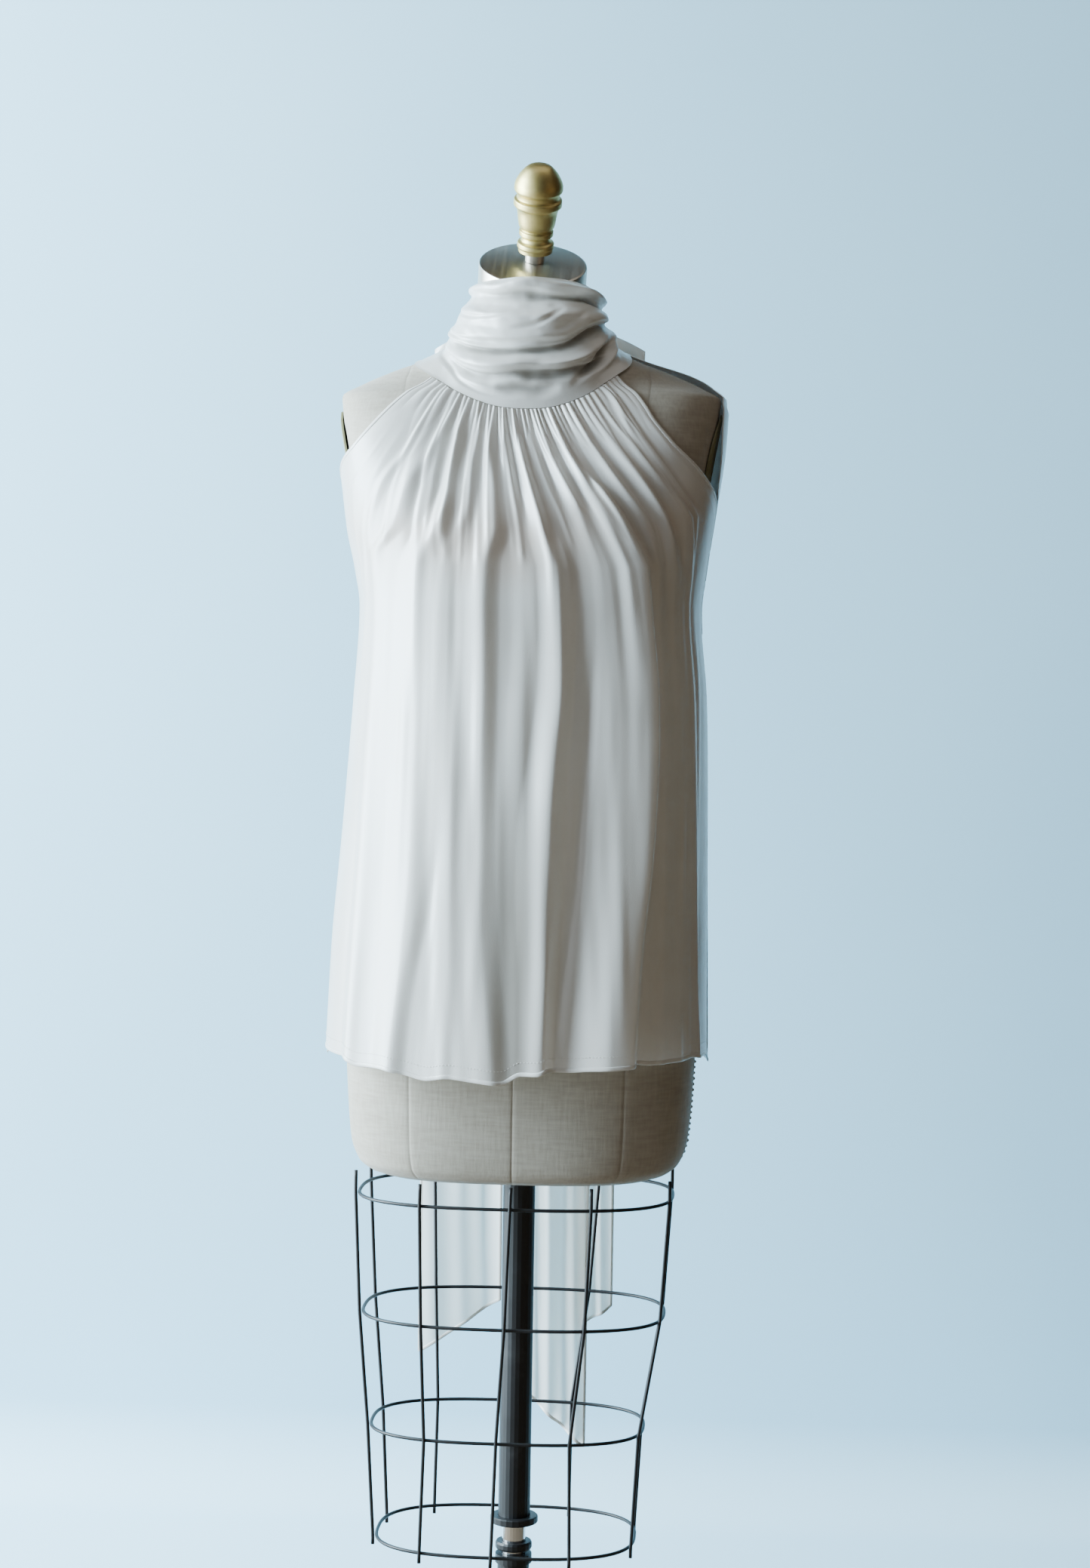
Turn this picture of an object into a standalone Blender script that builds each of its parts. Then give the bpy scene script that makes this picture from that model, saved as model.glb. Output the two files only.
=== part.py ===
# Silk blouse with a tied scarf collar, on a limbless dress form with a wire cage and a telescopic stand.
# Metres, +Z up. The wearer faces -Y. The pole stands on the origin and the base rests on z = 0.
import bmesh
import bpy
import math
from collections import namedtuple
from mathutils import Matrix, Vector

for oldObject in list(bpy.data.objects):
    bpy.data.objects.remove(oldObject, do_unlink=True)


def table(columns, rows):
    row = namedtuple("row", columns)
    return [row(*values) for values in rows]


# Heights of the form and of the garment on it
bustZ = 1.225
hemZ = 0.745
torsoBottomZ = 0.632
capCentre = Vector((0.0, -0.012, 1.5288))
neckTilt = math.radians(30.5)  # the neck leans forward
neckLean = math.radians(4.2)  # and a little to the side

# Cloth
clothWall = 0.0016
clothClear = 0.0014  # between the form and the cloth that lies on it
seamGap = 0.0003
frontGathers = 40
backGathers = 24

# Stand
sleeveRadius = 0.016
innerTubeRadius = 0.0118
boreGap = 0.0004
collarRadius = 0.024
collarBottomZ = 0.275
collarTopZ = 0.282
columnTopZ = 0.2435
columnHead = 0.009  # its wider top
baseRadius = 0.215
wireRadius = 0.00175

# Sections of the form: height, half width, depth to the front, depth to the rear, corner power
torsoSections = table("z half front rear power", (
    (0.632, 0.138, 0.100, 0.098, 2.8),
    (0.636, 0.150, 0.107, 0.105, 2.8),
    (0.645, 0.160, 0.111, 0.110, 2.9),
    (0.665, 0.167, 0.113, 0.113, 2.9),
    (0.710, 0.171, 0.114, 0.116, 2.9),
    (0.780, 0.174, 0.115, 0.119, 2.8),
    (0.860, 0.174, 0.114, 0.121, 2.6),
    (0.950, 0.156, 0.104, 0.108, 2.4),
    (1.040, 0.124, 0.092, 0.088, 2.2),
    (1.110, 0.131, 0.103, 0.091, 2.2),
    (1.170, 0.142, 0.122, 0.097, 2.3),
    (1.225, 0.152, 0.138, 0.103, 2.4),
    (1.265, 0.165, 0.133, 0.108, 2.7),
    (1.310, 0.173, 0.115, 0.112, 3.2),
    (1.350, 0.180, 0.096, 0.110, 3.4),
    (1.378, 0.185, 0.082, 0.104, 3.4),
    (1.396, 0.187, 0.073, 0.097, 3.0),
    (1.407, 0.170, 0.065, 0.092, 2.6),
    (1.420, 0.142, 0.060, 0.087, 2.3),
    (1.434, 0.105, 0.058, 0.082, 2.1),
    (1.446, 0.083, 0.057, 0.077, 2.0),
    (1.458, 0.070, 0.056, 0.073, 2.0),
))

# Sections of the blouse where it hangs free: height, half width left and right, depths, corner power
blouseSections = table("z left right front rear power", (
    (0.730, 0.194, 0.184, 0.168, 0.152, 2.2),
    (0.850, 0.189, 0.182, 0.164, 0.146, 2.2),
    (0.980, 0.179, 0.181, 0.160, 0.140, 2.25),
    (1.100, 0.170, 0.178, 0.157, 0.133, 2.3),
    (1.190, 0.165, 0.171, 0.154, 0.127, 2.35),
    (1.225, 0.170, 0.175, 0.148, 0.122, 2.4),
    (1.266, 0.178, 0.180, 0.132, 0.119, 2.7),
    (1.300, 0.181, 0.184, 0.112, 0.115, 3.0),
    (1.360, 0.185, 0.189, 0.070, 0.105, 3.4),
    (1.385, 0.180, 0.189, 0.060, 0.095, 3.0),
    (1.410, 0.110, 0.110, 0.050, 0.080, 2.4),
    (1.425, 0.050, 0.050, 0.030, 0.050, 2.4),
))

# Height of the neckline seam: low in front, on the shoulders at shoulderAngle, a little higher behind
seamFrontZ = 1.379
seamLeftZ = 1.4345
seamRightZ = 1.443
seamRearZ = 1.452
shoulderAngle = 95.0

# Where a gather of the front neckline hangs below the bust: share of the neckline, angle there
frontFan = table("share angle", (
    (0, -90), (0.05, -57), (0.16, -35), (0.31, -12), (0.44, 13), (0.66, 42), (0.80, 56), (0.93, 68), (1, 90),
))
neckLeft = -58.0  # the ends of the front's gathered neckline, in degrees
neckRight = 55.7

# Main folds of the front: share, half width in shares, height at the bust, height at the hem, metres
frontFolds = table("share width atBust atHem", (
    (0.055, 0.045, 0.003, 0.006),
    (0.160, 0.060, 0.004, 0.012),
    (0.310, 0.060, 0.009, 0.010),
    (0.440, 0.065, 0.010, 0.012),
    (0.550, 0.045, 0.004, 0.009),
    (0.665, 0.065, 0.014, 0.020),
    (0.810, 0.055, 0.005, 0.008),
    (0.935, 0.045, 0.004, 0.006),
))
backFolds = table("share width atBust atHem", (
    (0.09, 0.06, 0.004, 0.008),
    (0.23, 0.07, 0.006, 0.014),
    (0.37, 0.06, 0.005, 0.010),
    (0.50, 0.07, 0.007, 0.013),
    (0.64, 0.06, 0.005, 0.011),
    (0.78, 0.07, 0.006, 0.013),
    (0.91, 0.06, 0.004, 0.008),
))

gatherHeightAtNeck = 0.0022
gatherEnd = 0.30  # below this fall a panel has one column for each gather
pairHeight = 0.0035
pairFall = 0.42
pairSpan = 0.60
backStandOff = 0.012  # the back's right edge stands up off the shoulder
standOffZ = 1.420
standOffSpan = 0.028
backNeckRight = 93.0
backNeckLeft = 255.0
backFan = table("share angle", ((0, 90), (0.12, 112), (0.5, 180), (0.88, 248), (1, 270)))

# How far each side edge has moved out to the side seam, by fall: at the panel's first and last edge
frontSide = table("fall first last", (
    (0, 0, 0), (0.20, 0.10, 0.02), (0.35, 0.25, 0.10), (0.50, 0.72, 0.35), (0.56, 1, 0.50), (0.70, 1, 1),
))
backSide = table("fall first last", (
    (0, 0, 0), (0.12, 1.5, 0), (0.25, 3.6, 0), (0.40, 4.3, 0), (0.60, 4.0, 1), (0.65, 3.0, 1),
    (0.70, 1.4, 1), (0.74, 0.6, 1), (0.78, 1, 1),
))
frontFalls = (0, 0.06, 0.12, 0.20, 0.30, 0.37, 0.43, 0.48, 0.53, 0.58, 0.65, 0.74, 0.86,
              1, 1.11, 1.24, 1.38, 1.54, 1.70, 1.86, 2)
backFalls = (0, 0.05, 0.10, 0.14, 0.175, 0.21, 0.27, 0.36, 0.46, 0.60, 0.65, 0.70, 0.74, 0.78,
             1, 1.2, 1.45, 1.72, 2)

# Scarf collar: half widths and depths of its top edge, height of that edge by angle, and its soft rolls
scarfWall = 0.0022
scarfGap = 0.0006
scarfOff = 0.0028  # how far its sewn edge stands off the form, past the panels
scarfGuard = 0.004  # it clears the form up to this height above the neck's last section
scarfFlatRise = 0.15  # the rolls start above this share of its height
scarfRows = 9
scarfColumns = 40
scarfTopLeft = 0.0565
scarfTopRight = 0.0620
scarfTopFront = 0.0645
scarfTopRear = 0.0680
scarfSideRise = 0.42
scarfFrontRise = 1.3
scarfTop = table("angle z", (
    (-180, 1.510), (-90, 1.506), (-30, 1.507), (0, 1.508), (50, 1.506), (90, 1.496), (180, 1.510),
))
scarfRolls = table("rise slant width size angle span", (
    (0.93, 0.00, 0.09, 0.0040, 0, 240),
    (0.66, 0.05, 0.17, 0.0085, 0, 120),
    (0.30, -0.08, 0.18, 0.0070, -15, 90),
    (0.42, 0.10, 0.16, 0.0050, 100, 60),
    (0.55, 0.00, 0.20, 0.0050, 180, 80),
    (0.75, 0.00, 0.14, 0.0040, -110, 60),
))

# Bow at the back of the neck
knotCentre = Vector((0.0, 0.0953, 1.458))
knotHalfWidth = 0.020
knotHalfDepth = 0.014
knotHalfHeight = 0.024
knotReach = math.radians(77)
knotRows = 6
knotSides = 16
loopWall = 0.0016
loopLength = 0.088
loopRoot = 0.026
loopWidth = 0.058
loopDepth = 0.011
loopLean = 0.012
loopDroop = 0.030
loopRows = 3
loopColumns = 20

# Hanging ends: middle x, width and distance off the back panel, each at the top and low down, lowest z at
# the left and right edge, waves across and their start
tails = table("name middles widths topStand stand lowLeft lowRight folds phase", (
    ("tie_tail_left", (-0.016, -0.0745), (0.026, 0.086), 0.006, 0.006, 0.400, 0.460, 1.6, 0.6),
    ("tie_tail_right", (0.012, 0.031), (0.022, 0.058), 0.006, 0.006, 0.357, 0.303, 1.2, 2.2),
    ("tie_tail_fold", (0.020, 0.064), (0.018, 0.044), 0.0096, 0.016, 0.425, 0.452, 1.0, 0.2),
))
tailHeights = (1.4337, 1.405, 1.370, 1.320, 1.250, 1.170, 1.080,
               0.980, 0.880, 0.780, 0.680, 0.580, 0.480, 0.400)
tailSpread = 0.42  # they widen over this height
tailHang = 0.176  # how far behind the pole they hang below tailFreeZ, where they leave the back panel
tailFreeZ = 1.1
tailFreeSpan = 0.3
tailLastStep = 0.03
tailWave = 0.0035
backFoldDepths = (0.004, 0.0145)  # how far the back's folds stand out behind them, above and below the bust
tailColumns = 8

# Neck cap and finial: (radius, height) in the tilted frame of the cap
neckRadius = 0.0525
capRadius = 0.0535
capHeight = 0.028
capProfile = ((capRadius, -capHeight), (capRadius, -0.003), (capRadius - 0.0007, -0.001),
              (capRadius - 0.003, 0.0))
finialBack = 0.006
finialAside = 0.001
stubTop = 0.0104
stubProfile = ((0.0095, 0.0), (0.0095, stubTop))
finialProfile = (
    (0.0168, 0.0107), (0.0171, 0.0143), (0.0182, 0.0159), (0.0182, 0.0192), (0.0146, 0.0222), (0.0141, 0.0254),
    (0.0169, 0.0282), (0.0169, 0.0319), (0.0154, 0.0338), (0.0176, 0.0370), (0.0207, 0.0555), (0.0237, 0.0587),
    (0.0237, 0.0638), (0.0207, 0.0661), (0.0211, 0.0698), (0.0239, 0.0745), (0.0237, 0.0786), (0.0205, 0.0865),
    (0.0156, 0.0934), (0.0107, 0.0976), (0.0060, 0.0993),
)

# Arm plates on the sides of the form
plateZ = 1.318
plateHalfHeight = 0.065
plateHalfWidth = 0.046
plateSides = 24
plateGap = 0.0012
plateSteps = ((0, 0.03), (0, 0.5), (0, 0.8), (0, 1.0), (0.0018, 1.0), (0.0026, 0.94),
              (0.0026, 0.5), (0.0026, 0.03))
plateCover = 0.0070  # how far the cloth stands off the form to pass over a plate
torsoSides = 36

# Cage: height, half width, half depth and shift to the right of each ring, lowest first
cageLevels = table("z half depth aside", (
    (0.2645, 0.129, 0.0895, -0.0080), (0.3756, 0.136, 0.0860, -0.0080), (0.490, 0.150, 0.098, -0.0034),
    (0.6085, 0.156, 0.104, -0.0026),
))
cagePower = 2.8
ringColumns = 28
wireEnd = 0.009
wireTopGap = 0.0005
cageWires = table("name top bottom", (
    ("cage_wire_front_left", -41, -43),
    ("cage_wire_front", 1, -5),
    ("cage_wire_front_right", 38, 38),
    ("cage_wire_right_front", 73, 71),
    ("cage_wire_right_rear", 106, 108),
    ("cage_wire_rear_right", 142, 147),
    ("cage_wire_rear_left", 223, 224),
    ("cage_wire_left_rear", 252, 250),
    ("cage_wire_left_front", 281, 282),
))

# Stand
sleeveBottomZ = 0.2745
collarBevel = 0.001
innerTubeTopZ = 0.50
stopBottomZ = 0.248
stopTopZ = 0.256
stopRadius = 0.0184
hubZ = 0.036
baseProfile = ((baseRadius - 0.002, 0.0), (baseRadius, 0.002), (baseRadius, 0.009),
               (baseRadius - 0.003, 0.012), (0.150, 0.017), (0.080, 0.0215), (0.045, 0.026),
               (0.034, 0.031), (0.030, hubZ))

materials = {}


def material(name, colour, roughness, metallic=0.0):
    if name not in materials:
        made = bpy.data.materials.new(name)
        made.use_nodes = True
        shader = made.node_tree.nodes["Principled BSDF"]
        shader.inputs["Base Color"].default_value = (*colour, 1.0)
        shader.inputs["Roughness"].default_value = roughness
        shader.inputs["Metallic"].default_value = metallic
        materials[name] = made
    return materials[name]


def addObject(name, points, faces, look, parent=None, smooth=True, sharpAngle=40):
    mesh = bpy.data.meshes.new(name)
    mesh.from_pydata([tuple(point) for point in points], [], faces)
    shape = bmesh.new()
    shape.from_mesh(mesh)
    bmesh.ops.recalc_face_normals(shape, faces=shape.faces[:])
    shape.to_mesh(mesh)
    shape.free()
    mesh.materials.append(look)
    if smooth:
        mesh.shade_smooth()
        mesh.set_sharp_from_angle(angle=math.radians(sharpAngle))
    made = bpy.data.objects.new(name, mesh)
    bpy.context.scene.collection.objects.link(made)
    if parent is not None:
        made.parent = parent
        made.matrix_parent_inverse = parent.matrix_world.inverted()
    return made


def lerp(a, b, share):
    return a + (b - a) * share


def smooth(share):
    share = min(1.0, max(0.0, share))
    return share * share * (3 - 2 * share)


def wrap(angle):
    return (angle + math.pi) % (2 * math.pi) - math.pi


def bump(distance, width):
    # A rounded ridge, 1 at its middle and 0 at its width
    return 0.5 + 0.5 * math.cos(math.pi * distance / width) if abs(distance) < width else 0.0


def lookUp(rows, key, *columns):
    # Reads columns of a table by its first one, with straight lines between rows
    low = high = rows[0]
    for row in rows:
        low, high = high, row
        if key <= row[0]:
            break
    share = min(1.0, max(0.0, (key - low[0]) / (high[0] - low[0]))) if high[0] > low[0] else 0.0
    found = [lerp(getattr(low, column), getattr(high, column), share) for column in columns]
    return found if len(found) > 1 else found[0]


def superReach(angle, left, right, front, rear, power):
    # Distance from the pole axis to a rounded section, angle 0 at the front (-Y), positive to the right (+X)
    side = right if math.sin(angle) > 0 else left
    depth = front if math.cos(angle) > 0 else rear
    across = abs(math.sin(angle)) / side
    along = abs(math.cos(angle)) / depth
    return (across ** power + along ** power) ** (-1.0 / power)


def torsoReach(angle, z):
    half, front, rear, power = lookUp(torsoSections, z, "half", "front", "rear", "power")
    return superReach(angle, half, half, front, rear, power)


def blouseReach(angle, z):
    return superReach(angle, *lookUp(blouseSections, z, "left", "right", "front", "rear", "power"))


def clothReach(angle, z):
    # The cloth lies on the form where the form is wider and hangs free below
    overPlate = bump(abs(abs(math.degrees(wrap(angle))) - 90), 50) * bump(z - plateZ, 0.11)
    onForm = torsoReach(angle, z) + clothClear + plateCover * overPlate
    free = blouseReach(angle, z)
    blend = 0.004
    gap = (onForm - free) / blend
    if gap > 20:
        return onForm
    if gap < -20:
        return free
    return free + blend * math.log(1 + math.exp(gap))


def polar(angle, reach, z):
    return Vector((reach * math.sin(angle), -reach * math.cos(angle), z))


def bridge(faces, rowA, rowB, flip):
    # Joins two rows of point numbers whose counts are equal, or in the ratio of two segments to one
    def add(*corners):
        faces.append(tuple(reversed(corners)) if flip else corners)

    if len(rowA) == len(rowB):
        for i in range(len(rowA) - 1):
            add(rowA[i], rowB[i], rowA[i + 1])
            add(rowA[i + 1], rowB[i], rowB[i + 1])
    else:
        for i in range(len(rowB) - 1):
            add(rowA[2 * i], rowB[i], rowA[2 * i + 1])
            add(rowA[2 * i + 1], rowB[i], rowB[i + 1])
            add(rowA[2 * i + 1], rowB[i + 1], rowA[2 * i + 2])


def clothWallMesh(outerRows, innerRows, closed=False):
    # A wall between two grids of rows. An open wall is closed along all four edges, a ring along two.
    points = []
    numbered = []
    for rows in (outerRows, innerRows):
        numbers = []
        for row in rows:
            start = len(points)
            points.extend(row)
            line = list(range(start, start + len(row)))
            numbers.append(line + [line[0]] if closed else line)
        numbered.append(numbers)
    outer, inner = numbered
    faces = []
    for flip, rows in ((False, outer), (True, inner)):
        for rowA, rowB in zip(rows, rows[1:]):
            bridge(faces, rowA, rowB, flip)
    for flip, k in ((True, 0), (False, -1)):
        bridge(faces, outer[k], inner[k], flip)
    if not closed:
        for flip, k in ((False, 0), (True, -1)):
            bridge(faces, [row[k] for row in outer], [row[k] for row in inner], flip)
    return points, faces


def offsetPath(path, distance):
    # Moves a closed level path sideways, seen from above
    moved = []
    for i, point in enumerate(path):
        along = path[(i + 1) % len(path)] - path[i - 1]
        aside = Vector((along.y, -along.x, 0)).normalized()
        moved.append(point + distance * aside)
    return moved


def loftMesh(rings):
    # A solid through closed rings of equal counts, with flat ends
    points = [point for ring in rings for point in ring]
    count = len(rings[0])
    faces = []
    for k in range(len(rings) - 1):
        for i in range(count):
            j = (i + 1) % count
            a, b = k * count + i, k * count + j
            c, d = a + count, b + count
            faces.append((a, b, d, c))
    faces.append(tuple(reversed(range(count))))
    faces.append(tuple(range((len(rings) - 1) * count, len(rings) * count)))
    return points, faces


def turned(name, profile, look, parent, place=Matrix(), sides=32, hollow=False):
    # Turns a profile of (radius, height) pairs, listed upwards on the outer side
    rings = []
    for radius, height in profile:
        ring = []
        for i in range(sides):
            turn = 2 * math.pi * i / sides
            ring.append(place @ Vector((radius * math.cos(turn), radius * math.sin(turn), height)))
        rings.append(ring)
    if not hollow:
        points, faces = loftMesh(rings)
    else:
        points = [point for ring in rings for point in ring]
        faces = []
        for k in range(len(rings)):
            nextRing = (k + 1) % len(rings)
            for i in range(sides):
                j = (i + 1) % sides
                faces.append((k * sides + i, k * sides + j, nextRing * sides + j, nextRing * sides + i))
    return addObject(name, points, faces, look, parent)


def wireAlong(name, route, look, parent, closed=False, sides=6, radius=wireRadius):
    # A round wire along points, its rings square to the route
    rings = []
    count = len(route)
    for i, point in enumerate(route):
        before = route[i - 1] if (i > 0 or closed) else point
        after = route[(i + 1) % count] if (i < count - 1 or closed) else point
        along = (after - before).normalized()
        helper = Vector((0, 0, 1)) if abs(along.z) < 0.8 else Vector((0, 1, 0))
        across = along.cross(helper).normalized()
        up = across.cross(along)
        ring = []
        for k in range(sides):
            turn = 2 * math.pi * (k + 0.5) / sides
            ring.append(point + radius * (math.cos(turn) * across + math.sin(turn) * up))
        rings.append(ring)
    points = [point for ring in rings for point in ring]
    faces = []
    for i in range(count if closed else count - 1):
        j = (i + 1) % count
        for k in range(sides):
            m = (k + 1) % sides
            faces.append((i * sides + k, i * sides + m, j * sides + m, j * sides + k))
    if not closed:
        faces.append(tuple(reversed(range(sides))))
        faces.append(tuple(range((count - 1) * sides, count * sides)))
    return addObject(name, points, faces, look, parent)


def foldHeight(folds, share, fall):
    # fall is 0 at the neckline, 1 at the bust and 2 at the hem
    height = 0.0
    for fold in folds:
        size = fold.atBust * smooth(fall) if fall < 1 else lerp(fold.atBust, fold.atHem, smooth(fall - 1))
        height += size * bump(share - fold.share, fold.width)
    return height


def gatherHeight(share, fall, gathers):
    # Small pleats at the seam join in pairs and die out below the bust
    fine = 0.5 - 0.5 * math.cos(2 * math.pi * gathers * share)
    pair = 0.5 - 0.5 * math.cos(math.pi * gathers * share)
    fineSize = gatherHeightAtNeck * max(0.0, 1 - fall / gatherEnd)
    pairSize = pairHeight * bump(fall - pairFall, pairSpan)
    return fineSize * fine + pairSize * pair


def neckSeamZ(angle):
    turn = abs(math.degrees(wrap(angle)))
    seamShoulderZ = seamRightZ if math.sin(angle) > 0 else seamLeftZ
    if turn < shoulderAngle:
        rise = (0.5 - 0.5 * math.cos(math.pi * turn / shoulderAngle)) ** 1.3
        return lerp(seamFrontZ, seamShoulderZ, rise)
    return lerp(seamShoulderZ, seamRearZ, smooth((turn - shoulderAngle) / (180 - shoulderAngle)))


def panelRows(neckFrom, neckTo, fan, folds, gathers, sideEase, falls, standOff=0.0):
    # Points of a panel's two faces, row by row from the neckline (fall 0) by the bust (1) to the hem (2)
    outerRows, innerRows = [], []
    for fall in falls:
        count = 2 * gathers if fall < gatherEnd else gathers
        outer, inner = [], []
        for i in range(count + 1):
            share = i / count
            startAngle = math.radians(lerp(neckFrom, neckTo, share))
            endAngle = math.radians(lookUp(fan, share, "angle"))
            if fall <= 1:
                edge = abs(2 * share - 1) ** 4
                side = lookUp(sideEase, fall, "first" if share < 0.5 else "last")
                angle = lerp(startAngle, endAngle, lerp(fall ** 0.9, side, edge))
                z = lerp(neckSeamZ(startAngle), bustZ, fall)
            else:
                angle = endAngle
                z = lerp(bustZ, hemZ, fall - 1)
            reach = clothReach(angle, z) + standOff * bump(z - standOffZ, standOffSpan) * bump(share, 0.3)
            if fall > 0 and i in (0, count):
                angle += (1 if i == 0 else -1) * seamGap / 2 / reach
            reach += foldHeight(folds, share, fall) + gatherHeight(share, fall, gathers)
            outer.append(polar(angle, reach + clothWall, z))
            inner.append(polar(angle, reach, z))
        outerRows.append(outer)
        innerRows.append(inner)
    return outerRows, innerRows


def buildPanels(silk, parent):
    outer, inner = panelRows(neckLeft, neckRight, frontFan, frontFolds, frontGathers, frontSide, frontFalls)
    points, faces = clothWallMesh(outer, inner)
    addObject("front_panel", points, faces, silk, parent, sharpAngle=60)
    outer, inner = panelRows(backNeckRight, backNeckLeft, backFan, backFolds, backGathers, backSide, backFalls,
                             backStandOff)
    points, faces = clothWallMesh(outer, inner)
    addObject("back_panel", points, faces, silk, parent, sharpAngle=60)


def scarfPoint(angle, rise, lift):
    # rise is 0 at the neckline seam and 1 at the rolled top edge
    degrees = math.degrees(wrap(angle))
    seamZ = neckSeamZ(angle) + scarfGap
    low = clothReach(angle, seamZ) + scarfOff
    width = scarfTopRight if math.sin(angle) > 0 else scarfTopLeft
    high = superReach(angle, width, width, scarfTopFront, scarfTopRear, 2.0)
    topZ = lookUp(scarfTop, degrees, "z")
    facing = abs(math.cos(angle))
    reach = lerp(low, high, rise ** lerp(scarfSideRise, scarfFrontRise, facing ** 2))
    z = lerp(seamZ, topZ, rise)
    if z < torsoSections[-1].z + scarfGuard:
        reach = max(reach, torsoReach(angle, z) + scarfOff)
    crumple = 0.0
    for roll in scarfRolls:
        across = (degrees - roll.angle + 180) % 360 - 180
        along = rise - roll.rise - roll.slant * across / 90
        crumple += roll.size * bump(along, roll.width) * bump(across, roll.span)
    crumple *= min(1.0, rise / scarfFlatRise)
    return polar(angle, reach + crumple + lift, z)


def buildScarf(silk, parent):
    outer, inner = [], []
    for k in range(scarfRows + 1):
        rise = k / scarfRows
        angles = [2 * math.pi * i / scarfColumns for i in range(scarfColumns)]
        outer.append([scarfPoint(angle, rise, scarfWall) for angle in angles])
        inner.append([scarfPoint(angle, rise, 0.0) for angle in angles])
    points, faces = clothWallMesh(outer, inner, closed=True)
    addObject("neck_scarf", points, faces, silk, parent, sharpAngle=70)


def rearDepth(x, z):
    # How far behind the pole the outer face of the back panel can reach at this x and z
    low, high = math.pi / 2, math.pi
    for _ in range(30):
        middle = (low + high) / 2
        if clothReach(middle, z) * math.sin(middle) > abs(x):
            low = middle
        else:
            high = middle
    foldDepth = lerp(*backFoldDepths, smooth((bustZ + 0.1 - z) / 0.4))
    return -clothReach(high, z) * math.cos(high) + foldDepth + clothWall


def tailRows(route, tail):
    # A hanging end of the scarf: its rows run down the route of (z, middle x, width, distance behind)
    outer, inner = [], []
    for k, (z, middle, width, behind) in enumerate(route):
        rowOuter, rowInner = [], []
        for i in range(tailColumns + 1):
            share = i / tailColumns
            x = middle + width * (share - 0.5)
            drop = z if k < len(route) - 1 else lerp(tail.lowLeft, tail.lowRight, share)
            wave = tailWave * math.sin(2 * math.pi * tail.folds * share + tail.phase) * min(1.0, 0.3 + k / 5)
            y = behind + wave
            rowInner.append(Vector((x, y, drop)))
            rowOuter.append(Vector((x, y + clothWall, drop)))
        outer.append(rowOuter)
        inner.append(rowInner)
    return outer, inner


def buildTails(silk, parent):
    for tail in tails:
        route = []
        for z in tailHeights:
            share = smooth((tailHeights[0] - z) / tailSpread)
            middle, width = lerp(*tail.middles, share), lerp(*tail.widths, share)
            body = max(rearDepth(middle + side * width / 2, max(z, hemZ)) for side in (-1, 0, 1))
            hang = lerp(body, tailHang, smooth((tailFreeZ - z) / tailFreeSpan)) if z < tailFreeZ else body
            route.append((z, middle, width, max(body, hang) + lerp(tail.topStand, tail.stand, share)))
        lowest = max(tail.lowLeft, tail.lowRight)
        route = [row for row in route if row[0] > lowest + tailLastStep]
        route.append((lowest, *route[-1][1:]))
        outer, inner = tailRows(route, tail)
        points, faces = clothWallMesh(inner, outer)
        addObject(tail.name, points, faces, silk, parent, sharpAngle=60)


def buildBow(silk, parent):
    rings = []
    for k in range(knotRows + 1):
        turn = knotReach * (2 * k / knotRows - 1)
        z = knotHalfHeight * math.sin(turn) / math.sin(knotReach)
        ring = []
        for i in range(knotSides):
            around = 2 * math.pi * i / knotSides
            ring.append(knotCentre + Vector((knotHalfWidth * math.cos(turn) * math.cos(around),
                                             knotHalfDepth * math.cos(turn) * math.sin(around), z)))
        rings.append(ring)
    points, faces = loftMesh(rings)
    addObject("bow_knot", points, faces, silk, parent)
    for name, side in (("bow_loop_left", -1), ("bow_loop_right", 1)):
        outer, inner = [], []
        for k in range(loopRows + 1):
            path = []
            for i in range(loopColumns):
                turn = 2 * math.pi * i / loopColumns
                out = 0.5 - 0.5 * math.cos(turn)  # 0 at the knot, 1 at the far end of the loop
                width = lerp(loopRoot, loopWidth, smooth(out * 1.6))
                x = knotHalfWidth + seamGap + loopLength * out
                y = knotCentre.y + loopLean * out + loopDepth * math.sin(turn) * (0.35 + 0.65 * out)
                z = knotCentre.z - loopDroop * out ** 1.5 + width * (k / loopRows - 0.5)
                path.append(Vector((side * x, y, z)))
            if side > 0:
                path.reverse()
            outer.append(offsetPath(path, -loopWall))
            inner.append(path)
        points, faces = clothWallMesh(outer, inner, closed=True)
        addObject(name, points, faces, silk, parent, sharpAngle=60)


def headPlace(offset=(0, 0, 0)):
    # The tilted frame of the neck cap, its +Z out of the neck
    tilt = Matrix.Rotation(neckTilt, 4, "X") @ Matrix.Rotation(neckLean, 4, "Y")
    return Matrix.Translation(capCentre) @ tilt @ Matrix.Translation(Vector(offset))


def neckRing(share):
    # Rings that turn the neck from level to the tilt of the cap
    head = headPlace((0, 0, -capHeight - seamGap))
    ring = []
    level = torsoSections[-1]
    for i in range(torsoSides):
        angle = 2 * math.pi * i / torsoSides
        low = polar(angle, torsoReach(angle, level.z), level.z)
        high = head @ polar(angle, neckRadius, 0)
        ring.append(low.lerp(high, share))
    return ring


def torsoSide(y, z):
    # Half width of the form at this depth and height
    half, front, rear, power = lookUp(torsoSections, z, "half", "front", "rear", "power")
    depth = front if y < 0 else rear
    return half * (1 - (abs(y) / depth) ** power) ** (1 / power)


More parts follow.
